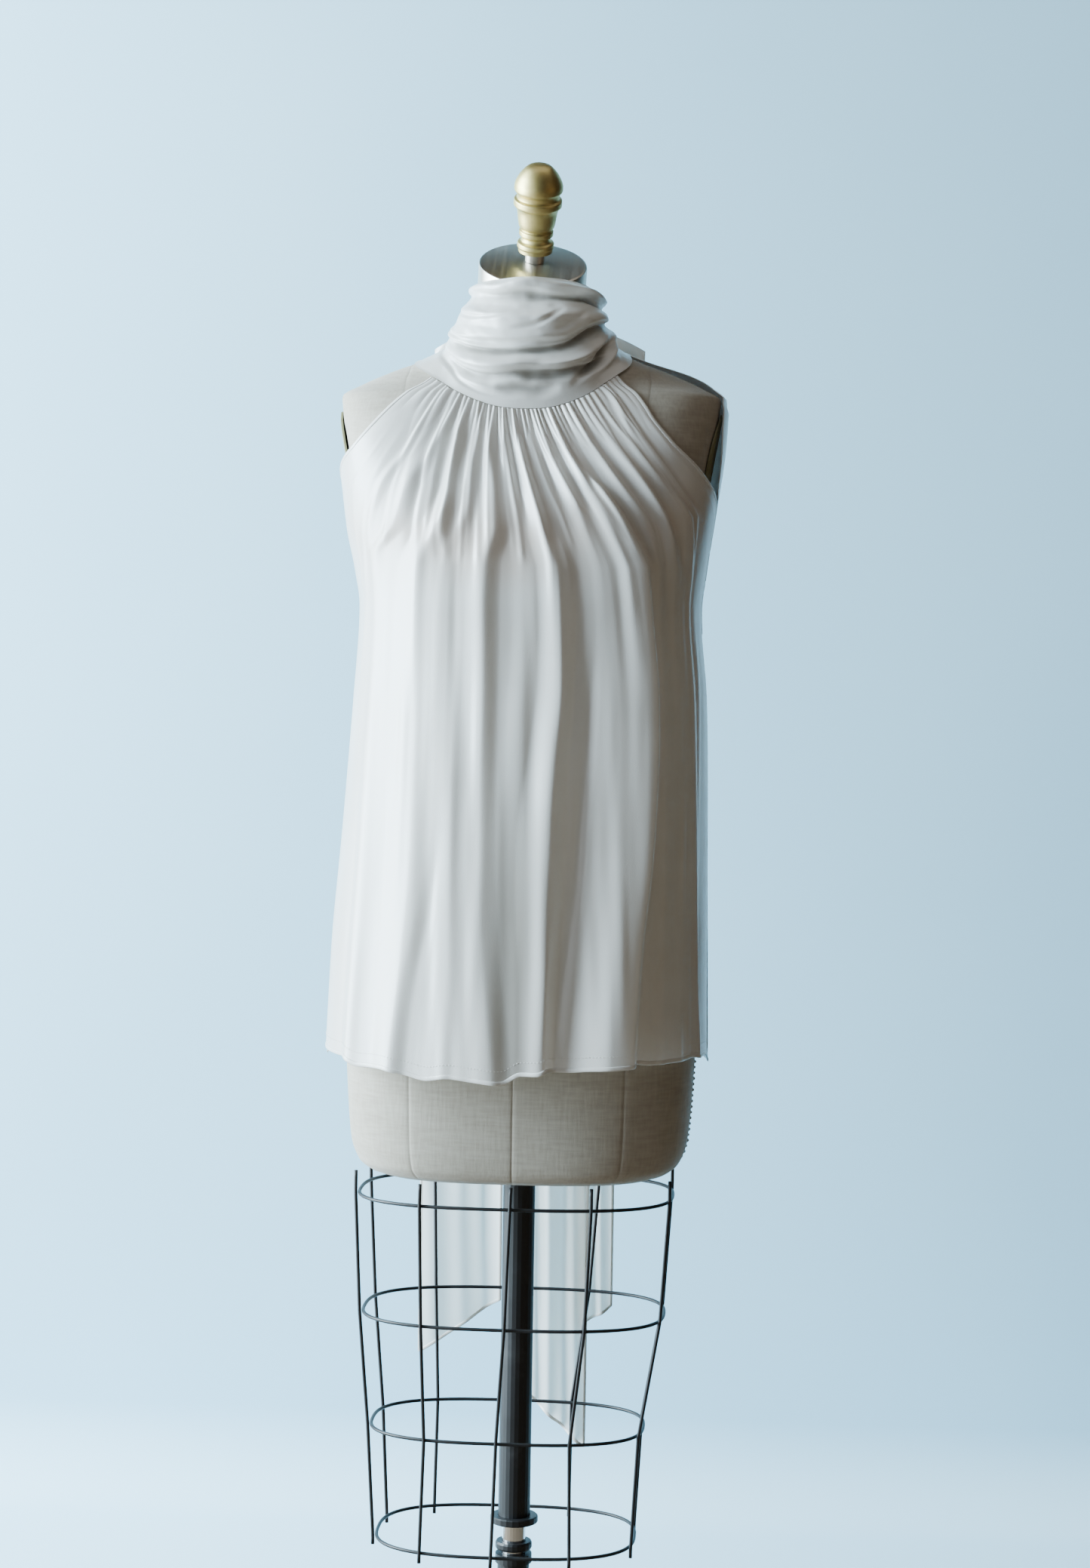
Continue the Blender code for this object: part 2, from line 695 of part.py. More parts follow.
def buildForm(linen, plate, steel, brass, parent):
    rings = []
    for z, half, front, rear, power in torsoSections:
        angles = [2 * math.pi * i / torsoSides for i in range(torsoSides)]
        rings.append([polar(angle, superReach(angle, half, half, front, rear, power), z) for angle in angles])
    rings += [neckRing(0.33), neckRing(0.66), neckRing(1.0)]
    points, faces = loftMesh(rings)
    addObject("torso", points, faces, linen, parent, sharpAngle=50)

    for name, side in (("arm_plate_left", -1), ("arm_plate_right", 1)):
        rings = []
        for level, shrink in plateSteps:
            ring = []
            for i in range(plateSides):
                turn = 2 * math.pi * i / plateSides
                z = plateZ + plateHalfHeight * math.sin(turn) * shrink
                y = plateHalfWidth * math.cos(turn) * shrink
                ring.append(Vector((side * (torsoSide(y, z) + plateGap + level), side * y, z)))
            rings.append(ring)
        points, faces = loftMesh(rings)
        addObject(name, points, faces, plate, parent)

    head = headPlace()
    turned("neck_cap", capProfile, steel, parent, head, sides=40)
    onCap = headPlace((finialAside, finialBack, seamGap))
    turned("finial_stub", stubProfile, steel, parent, onCap, sides=20)
    turned("finial", finialProfile, brass, parent, onCap, sides=24)


def onCage(angle, z):
    # A point on the line of the cage's rings, at any height between them
    half, depth, aside = lookUp(cageLevels, z, "half", "depth", "aside")
    return polar(angle, superReach(angle, half, half, depth, depth, cagePower), z) + Vector((aside, 0, 0))


def outsideRing(angle, z, distance):
    # A point this far outside the straight stretch of ring that lies at this angle
    step = 2 * math.pi / ringColumns
    first = math.floor(angle / step)
    a = onCage(first * step, z)
    b = onCage((first + 1) * step, z)
    place = a.lerp(b, angle / step - first)
    along = (b - a).normalized()
    return place + distance * Vector((along.y, -along.x, 0))


def torsoUnderside(reach, angle):
    # Height of the form's rounded underside above a point at this reach
    z = torsoBottomZ
    while torsoReach(angle, z) < reach and z < torsoBottomZ + 0.02:
        z += 0.0002
    return z


def buildCage(black, parent):
    for k, level in enumerate(reversed(cageLevels)):
        angles = [2 * math.pi * i / ringColumns for i in range(ringColumns)]
        route = [onCage(angle, level.z) for angle in angles]
        wireAlong("cage_ring_%d" % (k + 1), route, black, parent, closed=True)
    outside = 2 * wireRadius + seamGap
    for wire in cageWires:
        route = []
        topAt = math.radians(wire.top)
        top = outsideRing(topAt, cageLevels[-1].z, outside)
        topZ = torsoUnderside(math.hypot(top.x, top.y) - wireRadius, topAt) - wireTopGap
        heights = [topZ] + [level.z for level in reversed(cageLevels)] + [cageLevels[0].z - wireEnd]
        for z in heights:
            angle = math.radians(lerp(wire.top, wire.bottom, (topZ - z) / (topZ - heights[-1])))
            route.append(outsideRing(angle, z, outside))
        wireAlong(wire.name, route, black, parent)


def buildStand(black, chrome, iron, form, stand):
    bore = innerTubeRadius + boreGap
    sleeveTop = torsoBottomZ - seamGap
    turned("pole_sleeve", ((bore, sleeveBottomZ), (sleeveRadius, sleeveBottomZ), (sleeveRadius, sleeveTop),
                           (bore, sleeveTop)), black, form, sides=24, hollow=True)
    inside = sleeveRadius + seamGap
    collarEdge = collarRadius - collarBevel
    turned("pole_collar", ((inside, collarBottomZ), (collarEdge, collarBottomZ),
                           (collarRadius, collarBottomZ + collarBevel),
                           (collarRadius, collarTopZ - collarBevel), (collarEdge, collarTopZ),
                           (inside, collarTopZ)), black, form, sides=24, hollow=True)
    tubeBottom = hubZ + seamGap
    turned("inner_tube", ((innerTubeRadius, tubeBottom), (innerTubeRadius, innerTubeTopZ)),
           chrome, stand, sides=24)
    ringBore = innerTubeRadius + seamGap
    turned("stop_ring", ((ringBore, stopBottomZ), (stopRadius - collarBevel, stopBottomZ),
                         (stopRadius, stopBottomZ + 2 * collarBevel), (stopRadius, stopTopZ - 2 * collarBevel),
                         (stopRadius - collarBevel, stopTopZ), (ringBore, stopTopZ)),
           black, stand, sides=24, hollow=True)
    neckZ = columnTopZ - columnHead
    turned("lower_column", ((ringBore, tubeBottom), (sleeveRadius, tubeBottom), (sleeveRadius, neckZ),
                            (stopRadius, neckZ), (stopRadius, columnTopZ), (ringBore, columnTopZ)),
           black, stand, sides=24, hollow=True)
    turned("base", baseProfile, iron, stand, sides=40)


def main():
    silk = material("silk", (0.86, 0.85, 0.82), 0.42)
    linen = material("linen", (0.52, 0.49, 0.42), 0.9)
    olive = material("armPlate", (0.36, 0.36, 0.2), 0.6)
    steel = material("brushedSteel", (0.6, 0.6, 0.58), 0.3, 1.0)
    brass = material("brass", (0.55, 0.47, 0.2), 0.28, 1.0)
    black = material("blackWire", (0.012, 0.012, 0.014), 0.35)
    chrome = material("chrome", (0.8, 0.8, 0.8), 0.08, 1.0)
    iron = material("castIron", (0.02, 0.02, 0.022), 0.5)

    stand = bpy.data.objects.new("standRoot", None)
    sleeve = bpy.data.objects.new("heightSlide", None)
    form = bpy.data.objects.new("formSwivel", None)
    for empty in (stand, sleeve, form):
        bpy.context.scene.collection.objects.link(empty)
    sleeve.parent = stand
    form.parent = sleeve

    buildStand(black, chrome, iron, sleeve, stand)
    buildForm(linen, olive, steel, brass, form)
    buildCage(black, form)
    buildPanels(silk, form)
    buildScarf(silk, form)
    buildBow(silk, form)
    buildTails(silk, form)


main()
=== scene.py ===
import bpy
import math
import numpy as np
from mathutils import Matrix, Vector
from types import SimpleNamespace as Sizes


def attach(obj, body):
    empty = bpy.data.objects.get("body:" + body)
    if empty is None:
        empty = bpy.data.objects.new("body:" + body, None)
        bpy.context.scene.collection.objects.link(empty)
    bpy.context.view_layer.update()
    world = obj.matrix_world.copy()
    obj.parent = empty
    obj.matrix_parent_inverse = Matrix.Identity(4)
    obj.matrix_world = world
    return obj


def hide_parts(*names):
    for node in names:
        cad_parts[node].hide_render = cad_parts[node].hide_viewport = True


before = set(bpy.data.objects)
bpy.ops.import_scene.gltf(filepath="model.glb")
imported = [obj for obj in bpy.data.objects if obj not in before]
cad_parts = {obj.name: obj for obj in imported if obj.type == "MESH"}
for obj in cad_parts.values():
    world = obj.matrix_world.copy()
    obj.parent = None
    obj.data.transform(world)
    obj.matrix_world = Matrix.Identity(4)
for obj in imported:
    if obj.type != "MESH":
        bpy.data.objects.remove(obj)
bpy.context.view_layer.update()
seed = np.random.default_rng(7)

# Camera, in front and a little to the right of the form, in metres, degrees and the photograph's pixels
view = Sizes(
    distance=2.835, azimuth=4.0, height=1.12, pan=-0.387, tilt=-2.1, roll=0.93,
    focal=3780.0, imageHeight=2078, sensor=36.0,
)


def link(thing):
    bpy.context.scene.collection.objects.link(thing)


def setCamera():
    around = math.radians(view.azimuth)
    lens = bpy.data.cameras.new("photoCamera")
    lens.lens = view.focal / view.imageHeight * view.sensor
    lens.sensor_width = view.sensor
    camera = bpy.data.objects.new("photoCamera", lens)
    away = view.distance
    place = Vector((away * math.sin(around), -away * math.cos(around), view.height))
    turn = Matrix.Rotation(around + math.radians(view.pan), 4, "Z")
    turn = turn @ Matrix.Rotation(math.radians(90 + view.tilt), 4, "X")
    turn = turn @ Matrix.Rotation(math.radians(view.roll), 4, "Z")
    camera.matrix_world = Matrix.Translation(place) @ turn
    link(camera)
    bpy.context.scene.camera = camera


setCamera()

# Sections and heights that the cloth and the form share with the solids, in metres and degrees
bustZ = 1.225
hemZ = 0.745
torsoBottomZ = 0.632
seamGap = 0.0003
torsoSections = np.array((  # height, half width, depth to the front and rear, corner power
    (0.632, 0.138, 0.100, 0.098, 2.8), (0.636, 0.150, 0.107, 0.105, 2.8), (0.645, 0.160, 0.111, 0.110, 2.9),
    (0.665, 0.167, 0.113, 0.113, 2.9), (0.710, 0.171, 0.114, 0.116, 2.9), (0.780, 0.174, 0.115, 0.119, 2.8),
    (0.860, 0.174, 0.114, 0.121, 2.6), (0.950, 0.156, 0.104, 0.108, 2.4), (1.040, 0.124, 0.092, 0.088, 2.2),
    (1.110, 0.131, 0.103, 0.091, 2.2), (1.170, 0.142, 0.122, 0.097, 2.3), (1.225, 0.152, 0.138, 0.103, 2.4),
    (1.265, 0.165, 0.133, 0.108, 2.7), (1.310, 0.173, 0.115, 0.112, 3.2), (1.350, 0.180, 0.096, 0.110, 3.4),
    (1.378, 0.185, 0.082, 0.104, 3.4), (1.396, 0.187, 0.073, 0.097, 3.0), (1.407, 0.170, 0.065, 0.092, 2.6),
    (1.420, 0.142, 0.060, 0.087, 2.3), (1.434, 0.105, 0.058, 0.082, 2.1), (1.446, 0.083, 0.057, 0.077, 2.0),
    (1.458, 0.070, 0.056, 0.073, 2.0),
))
blouseSections = np.array((  # height, half width left and right, depths, corner power
    (0.730, 0.194, 0.184, 0.168, 0.152, 2.2), (0.850, 0.189, 0.182, 0.164, 0.146, 2.2),
    (0.980, 0.179, 0.181, 0.160, 0.140, 2.25), (1.100, 0.170, 0.178, 0.157, 0.133, 2.3),
    (1.190, 0.165, 0.171, 0.154, 0.127, 2.35), (1.225, 0.170, 0.175, 0.148, 0.122, 2.4),
    (1.266, 0.178, 0.180, 0.132, 0.119, 2.7), (1.300, 0.181, 0.184, 0.112, 0.115, 3.0),
    (1.360, 0.185, 0.189, 0.070, 0.105, 3.4), (1.385, 0.180, 0.189, 0.060, 0.095, 3.0),
    (1.410, 0.110, 0.110, 0.050, 0.080, 2.4), (1.425, 0.050, 0.050, 0.030, 0.050, 2.4),
))
cloth = Sizes(
    clear=0.0014, blend=0.004, lift=0.0008, plateZ=1.318, plateSpan=0.11, plateTurn=50, plateCover=0.007,
)
neckline = Sizes(front=1.379, left=1.4345, right=1.443, rear=1.452, shoulder=95.0, power=1.3)


def lookUp(rows, key, column):
    # Smooth curve through a table, without overshoot
    x, y = rows[:, 0], rows[:, column]
    step = np.diff(x)
    rise = np.diff(y) / step
    slope = np.concatenate(([rise[0]], np.zeros(len(x) - 2), [rise[-1]]))
    before, after = rise[:-1], rise[1:]
    same = before * after > 0
    slope[1:-1][same] = 2 * before[same] * after[same] / (before[same] + after[same])
    key = np.clip(key, x[0], x[-1])
    i = np.clip(np.searchsorted(x, key, side="right") - 1, 0, len(step) - 1)
    t = (key - x[i]) / step[i]
    return (y[i] * (1 + 2 * t) * (1 - t) ** 2 + step[i] * slope[i] * t * (1 - t) ** 2
            + y[i + 1] * t ** 2 * (3 - 2 * t) + step[i] * slope[i + 1] * t ** 2 * (t - 1))


def lerp(a, b, share):
    return a + (b - a) * share


def smooth(share):
    share = np.clip(share, 0, 1)
    return share * share * (3 - 2 * share)


def bump(distance, width):
    # A rounded ridge, 1 at its middle and 0 at its width
    return 0.5 + 0.5 * np.cos(np.pi * np.clip(distance / width, -1, 1))


def wrap(angle):
    return (angle + math.pi) % (2 * math.pi) - math.pi


def superReach(angle, left, right, front, rear, power):
    side = np.where(np.sin(angle) > 0, right, left)
    depth = np.where(np.cos(angle) > 0, front, rear)
    return (np.abs(np.sin(angle) / side) ** power + np.abs(np.cos(angle) / depth) ** power) ** (-1 / power)


def torsoReach(angle, z):
    half, front, rear, power = (lookUp(torsoSections, z, column) for column in (1, 2, 3, 4))
    return superReach(angle, half, half, front, rear, power)


def clothReach(angle, z):
    # The cloth lies on the form where the form is wider and hangs free below
    side = np.abs(np.abs(np.degrees(wrap(angle))) - 90)
    overPlate = bump(side, cloth.plateTurn) * bump(z - cloth.plateZ, cloth.plateSpan)
    onForm = torsoReach(angle, z) + cloth.clear + cloth.plateCover * overPlate
    free = superReach(angle, *(lookUp(blouseSections, z, column) for column in (1, 2, 3, 4, 5)))
    return free + cloth.blend * np.logaddexp(0, (onForm - free) / cloth.blend)


def polar(angle, reach, z):
    # Angle 0 is the front (-Y), positive to the right (+X)
    angle, reach, z = np.broadcast_arrays(angle, reach, z)
    return np.stack((reach * np.sin(angle), -reach * np.cos(angle), z), -1)


def neckSeamZ(angle):
    turn = np.abs(np.degrees(wrap(angle)))
    side = np.where(np.sin(angle) > 0, neckline.right, neckline.left)
    rise = bump(np.clip(turn / neckline.shoulder, 0, 1) - 1, 1) ** neckline.power
    rear = smooth((turn - neckline.shoulder) / (180 - neckline.shoulder))
    ahead, behind = lerp(neckline.front, side, rise), lerp(side, neckline.rear, rear)
    return np.where(turn < neckline.shoulder, ahead, behind)


def wander(x, count, low=-1.0, high=1.0):
    # Smooth random values along x from 0 to 1
    values = seed.uniform(low, high, count + 2)
    place = np.clip(x, 0, 1) * count
    i = np.minimum(place.astype(int), count - 1)
    return lerp(values[i], values[i + 1], smooth(place - i))


def speckle(across, down, columns, rows):
    # Smooth random values over a grid, -1 to 1
    values = seed.uniform(-1, 1, (rows + 2, columns + 2))
    x, y = np.clip(across, 0, 1) * columns, np.clip(down, 0, 1) * rows
    i, j = np.minimum(x.astype(int), columns - 1), np.minimum(y.astype(int), rows - 1)
    upper = lerp(values[j, i], values[j, i + 1], smooth(x - i))
    lower = lerp(values[j + 1, i], values[j + 1, i + 1], smooth(x - i))
    return lerp(upper, lower, smooth(y - j))


def outwardNormals(points):
    normal = np.cross(np.gradient(points, axis=1), np.gradient(points, axis=0))
    normal = normal / np.maximum(np.linalg.norm(normal, axis=-1, keepdims=True), 1e-9)
    return normal * np.where((normal * points).sum(-1, keepdims=True) < 0, -1, 1)


def metresPerShare(points, share, axis=1):
    # How far the surface reaches for each unit of a share that runs along one of its axes
    return np.linalg.norm(np.gradient(points, axis=axis), axis=-1) / np.abs(np.gradient(share, axis=axis))


# Pieces: all that are made here ride on the form. The stand keeps its solids and only gets materials

def addPiece(name, mesh):
    mesh.shade_smooth()
    piece = bpy.data.objects.new(name, mesh)
    link(piece)
    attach(piece, "form")
    return piece


def makePiece(name, points, faces, look, nodes=(), sharp=None):
    mesh = bpy.data.meshes.new(name)
    mesh.from_pydata(points, [], faces)
    mesh.materials.append(look)
    piece = addPiece(name, mesh)
    if sharp is not None:
        mesh.set_sharp_from_angle(angle=math.radians(sharp))
    if nodes:
        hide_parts(*nodes)
    return piece


def gridFaces(rows, columns, closed):
    # Quads of a grid of points, row by row. A closed grid joins its last column to its first.
    count = columns if closed else columns - 1
    k, i = np.meshgrid(np.arange(rows - 1), np.arange(count), indexing="ij")
    j = (i + 1) % columns
    quads = np.stack((k * columns + i, (k + 1) * columns + i, (k + 1) * columns + j, k * columns + j), -1)
    return quads.reshape(-1, 4)


def gridPiece(name, points, look, nodes, values, closed=False, flip=False):
    # One smooth sheet through a grid of points, with named values for the material at each point
    rows, columns = points.shape[:2]
    quads = gridFaces(rows, columns, closed)
    if flip:
        quads = quads[:, ::-1]
    piece = makePiece(name, points.reshape(-1, 3).tolist(), quads.tolist(), look, nodes)
    layer = piece.data.uv_layers.new(name="clothUv")
    across = np.linalg.norm(np.diff(points, axis=1), axis=-1).cumsum(1).mean(0)
    down = np.linalg.norm(np.diff(points, axis=0), axis=-1).cumsum(0).mean(1)
    u = np.broadcast_to(np.concatenate(([0], across)), (rows, columns))
    v = np.broadcast_to(-np.concatenate(([0], down))[:, None], (rows, columns))
    corners = np.empty(len(piece.data.loops), int)
    piece.data.loops.foreach_get("vertex_index", corners)
    layer.data.foreach_set("uv", np.stack((u.ravel()[corners], v.ravel()[corners]), -1).ravel())
    for key, field in values.items():
        attribute = piece.data.attributes.new(key, "FLOAT", "POINT")
        attribute.data.foreach_set("value", np.broadcast_to(field, (rows, columns)).ravel().astype(float))
    return piece


def sweep(path, offsets, normals, closed=False):
    # Rings of points about a path: offsets are (along the normal, along the binormal), in metres
    before = np.roll(path, 1, 0) if closed else np.vstack((path[:1], path[:-1]))
    after = np.roll(path, -1, 0) if closed else np.vstack((path[1:], path[-1:]))
    along = after - before
    along /= np.linalg.norm(along, axis=1, keepdims=True)
    normals = normals - along * (normals * along).sum(1, keepdims=True)
    normals = normals / np.linalg.norm(normals, axis=1, keepdims=True)
    side = np.cross(along, normals)
    offsets = np.asarray(offsets)
    return path[:, None] + normals[:, None] * offsets[None, :, :1] + side[:, None] * offsets[None, :, 1:]


def tubePiece(name, path, normals, offsets, look, nodes=(), closed=False):
    rings = sweep(path, offsets, normals, closed)
    count, sides = rings.shape[:2]
    quads = gridFaces(count + int(closed), sides, True) % (count * sides)
    faces = quads.tolist()
    if not closed:
        faces += [list(range(sides)), list(range((count - 1) * sides, count * sides))[::-1]]
    return makePiece(name, rings.reshape(-1, 3).tolist(), faces, look, nodes)


def turns(count):
    # Angles evenly round a full turn
    return np.arange(count) * 2 * math.pi / count


def roundSection(radius):
    turn = turns(12)
    return np.stack((radius * np.cos(turn), radius * np.sin(turn)), -1)


def hemSection(depth, thick):
    # A flat rolled hem: its depth lies along the binormal
    turn = turns(10)
    return np.stack((thick / 2 * np.sin(turn), depth / 2 * np.cos(turn)), -1)


def turnedPiece(name, profile, look, node, place, sides=64, steps=1, sharp=50):
    # Turns a profile of (radius, height) pairs, rounded between them where it has more steps than one
    rows = np.array(profile, float)
    if steps > 1:
        length = np.concatenate(([0], np.linalg.norm(np.diff(rows, axis=0), axis=1).cumsum()))
        fine = [np.linspace(a, b, steps, endpoint=False) for a, b in zip(length, length[1:])]
        fine = np.concatenate(fine + [length[-1:]])
        table = np.column_stack((length, rows))
        rows = np.stack((lookUp(table, fine, 1), lookUp(table, fine, 2)), -1)
    turn = turns(sides)
    radius, height = rows[:, :1], np.broadcast_to(rows[:, 1:], (len(rows), sides))
    rings = np.stack((radius * np.cos(turn), radius * np.sin(turn), height), -1)
    points = [tuple(place @ Vector(point)) for point in rings.reshape(-1, 3)]
    faces = gridFaces(len(rows), sides, True)[:, ::-1].tolist()
    faces += [list(range(sides))[::-1], list(range(len(points) - sides, len(points)))]
    makePiece(name, points, faces, look, [node], sharp)


# Shader sockets that take part in ordinary expressions

def operator(operation, swapped=False):
    # A Math node as a Python operator
    if swapped:
        return lambda self, other: self.apply(operation, other, self)
    return lambda self, other: self.apply(operation, self, other)


class Wire:
    def __init__(self, tree, socket):
        self.tree = tree
        self.socket = socket

    def apply(self, operation, *values):
        node = self.tree.nodes.new("ShaderNodeMath")
        node.operation = operation
        for place, value in zip(node.inputs, values):
            connect(self.tree, place, value)
        return Wire(self.tree, node.outputs[0])

    __add__ = operator("ADD")
    __radd__ = operator("ADD", swapped=True)
    __sub__ = operator("SUBTRACT")
    __rsub__ = operator("SUBTRACT", swapped=True)
    __mul__ = operator("MULTIPLY")
    __rmul__ = operator("MULTIPLY", swapped=True)
    __truediv__ = operator("DIVIDE")

    def held(self, low=0.0, high=1.0):
        return self.apply("MINIMUM", self.apply("MAXIMUM", self, low), high)

    def ramp(self, low, high):
        return ((self - low) / (high - low)).held()


def connect(tree, place, value):
    if isinstance(value, Wire):
        tree.links.new(value.socket, place)
    else:
        place.default_value = value


class Look:
    def __init__(self, name, **constants):
        self.material = bpy.data.materials.new(name)
        self.material.use_nodes = True
        self.tree = self.material.node_tree
        self.shader = self.tree.nodes["Principled BSDF"]
        self.space = self.node("ShaderNodeTexCoord", output="Object")
        for key, value in constants.items():
            self.shader.inputs[key.replace("_", " ")].default_value = value

    def node(self, kind, output=0, inputs={}, **settings):
        made = self.tree.nodes.new(kind)
        for key, value in settings.items():
            setattr(made, key, value)
        for key, value in inputs.items():
            connect(self.tree, made.inputs[key], value)
        return Wire(self.tree, made.outputs[output])

    def noise(self, scale, detail, stretch=(1, 1, 1)):
        space = self.node("ShaderNodeVectorMath", inputs={0: self.space, 1: stretch}, operation="MULTIPLY")
        return self.node("ShaderNodeTexNoise", inputs={"Vector": space, "Scale": scale, "Detail": detail})

    def value(self, name):
        return self.node("ShaderNodeAttribute", "Fac", attribute_name=name)

    def mix(self, share, a, b):
        a, b = ((*value, 1.0) if isinstance(value, tuple) else value for value in (a, b))
        return self.node("ShaderNodeMix", 2, {0: share, 6: a, 7: b}, data_type="RGBA")

    def put(self, key, value):
        connect(self.tree, self.shader.inputs[key], value)

    def glowThrough(self, share, colour):
        # Lets part of the light pass through, as thin cloth does
        glow = self.node("ShaderNodeBsdfTranslucent", inputs={"Color": (*colour, 1.0)})
        surface = Wire(self.tree, self.shader.outputs[0])
        both = self.node("ShaderNodeMixShader", inputs={0: share, 1: surface, 2: glow})
        connect(self.tree, self.tree.nodes["Material Output"].inputs["Surface"], both)

    def relief(self, height, distance, strength):
        sizes = {"Height": height, "Distance": distance, "Strength": strength}
        self.put("Normal", self.node("ShaderNodeBump", inputs=sizes))


def silkLook(name, glow):
    # Ivory crepe, warm where the form shows through, and darkened by painted shade inside folds and creases
    look = Look(name, Sheen_Weight=0.06, Sheen_Roughness=0.3, Specular_IOR_Level=0.65, Coat_Roughness=0.28,
                Coat_IOR=1.6)
    near = look.value("near")
    crepe = look.noise(900, 2, (1, 1, 0.7))
    patches = look.noise(14, 3)
    ivory = look.mix(patches.ramp(0.3, 0.7), (0.81, 0.79, 0.75), (0.86, 0.845, 0.81))
    tinted = look.mix(near * 0.8 * patches.ramp(0.25, 0.6), ivory, (0.72, 0.60, 0.52))
    paintedShade = look.value("paintedShade")
    # Painted shade: where the shade value is high, the colour is darker, rougher and without the coat's sheen
    look.put("Base Color", look.mix(paintedShade * 0.85, tinted, (0.20, 0.175, 0.145)))
    look.put("Roughness", 0.20 + 0.14 * crepe + 0.08 * patches + 0.3 * paintedShade)
    look.put("Coat Weight", 0.32 * (1 - paintedShade))
    look.relief(crepe, 0.00025, 0.45)
    look.glowThrough(glow, (0.93, 0.89, 0.83))
    return look.material


def linenLook(name):
    look = Look(name, Sheen_Weight=0.2, Sheen_Roughness=0.6, Specular_IOR_Level=0.25)
    warp = look.noise(420, 2, (1, 1, 0.12))
    weft = look.noise(420, 2, (0.12, 0.12, 1))
    slubs = look.noise(60, 4, (0.3, 0.3, 2))
    seam = look.value("seam")
    weave = warp * 0.5 + weft * 0.5
    cloth = look.mix(weave.ramp(0.35, 0.65), (0.35, 0.305, 0.245), (0.43, 0.385, 0.315))
    cloth = look.mix(slubs.ramp(0.45, 0.8) * 0.2, cloth, (0.60, 0.56, 0.50))
    look.put("Base Color", look.mix(seam * 0.4, cloth, (0.30, 0.265, 0.22)))
    look.put("Roughness", 0.82 + 0.12 * weave)
    look.relief(weave + slubs * 0.4, 0.0005, 0.5)
    return look.material


def steelLook(name):
    look = Look(name, Metallic=1.0, Anisotropic=0.5)
    lines = look.noise(300, 3, (1, 0.02, 0.02))
    look.put("Base Color", look.mix(lines, (0.58, 0.54, 0.47), (0.72, 0.68, 0.60)))
    look.put("Roughness", 0.24 + 0.18 * lines)
    look.relief(lines, 0.0002, 0.3)
    return look.material


def brassLook(name):
    look = Look(name, Metallic=1.0)
    tarnish = look.noise(45, 4)
    streaks = look.noise(260, 2, (1, 1, 6))
    look.put("Base Color", look.mix(tarnish.ramp(0.35, 0.7), (0.74, 0.63, 0.28), (0.56, 0.44, 0.17)))
    look.put("Roughness", 0.34 + 0.14 * tarnish + 0.06 * streaks)
    look.relief(streaks, 0.0001, 0.25)
    return look.material


def paintLook(name, colour, roughness):
    look = Look(name, Specular_IOR_Level=0.5)
    grain = look.noise(600, 2)
    wear = look.noise(35, 4)
    worn = tuple(min(1.0, part * 1.8 + 0.01) for part in colour)
    look.put("Base Color", look.mix(wear.ramp(0.55, 0.75), colour, worn))
    look.put("Roughness", roughness + 0.15 * wear)
    look.relief(grain, 0.0001, 0.3)
    return look.material


def chromeLook(name):
    look = Look(name, Metallic=1.0)
    smears = look.noise(80, 3, (1, 1, 0.2))
    look.put("Base Color", look.mix(smears, (0.72, 0.72, 0.73), (0.80, 0.80, 0.80)))
    look.put("Roughness", 0.06 + 0.08 * smears)
    return look.material


silk = silkLook("silk", 0.18)
backSilk = silkLook("backSilk", 0.10)
sheerSilk = silkLook("sheerSilk", 0.45)
linen = linenLook("linen")
steel = steelLook("brushedSteel")
brass = brassLook("brass")
black = paintLook("blackPaint", (0.006, 0.006, 0.007), 0.42)
olive = paintLook("armPlate", (0.22, 0.21, 0.11), 0.5)
iron = paintLook("castIron", (0.012, 0.012, 0.013), 0.5)
chrome = chromeLook("chrome")
print("materials made")


def crest(distance, width, edge):
    # A fold with a soft foot: edge 0 is a sharp crest, 1 a round one
    away = np.sqrt((distance / width) ** 2 + edge ** 2) - edge
    return np.clip(1 - away / (np.sqrt(1 + edge ** 2) - edge), 0, 1) ** 1.7


def ridgeField(ridges, share, fall, perShare, edge=0.3, drift=0.0, blunt=8.0):
    # Adds listed folds. A row is: place along the fold, place across, height and the half widths on both
    # sides in mm. A crest is round over the share edge of its width, but over no more than blunt millimetres
    height = np.zeros_like(share)
    for rows in ridges:
        rows = np.array(rows, float)
        distance = (share - lookUp(rows, fall, 1)) * perShare * 1000 + drift
        width = np.where(distance < 0, lookUp(rows, fall, 3), lookUp(rows, fall, 4))
        height += lookUp(rows, fall, 2) / 1000 * crest(distance, width, np.minimum(edge, blunt / width))
    return height


# Rows of stitches, made with Geometry Nodes and kept as a plain mesh

stitchInputs = dict(Spacing="Float", Along="Float", Across="Float", Thick="Float", Uneven="Float", Seed="Int",
                    Thread="Material")


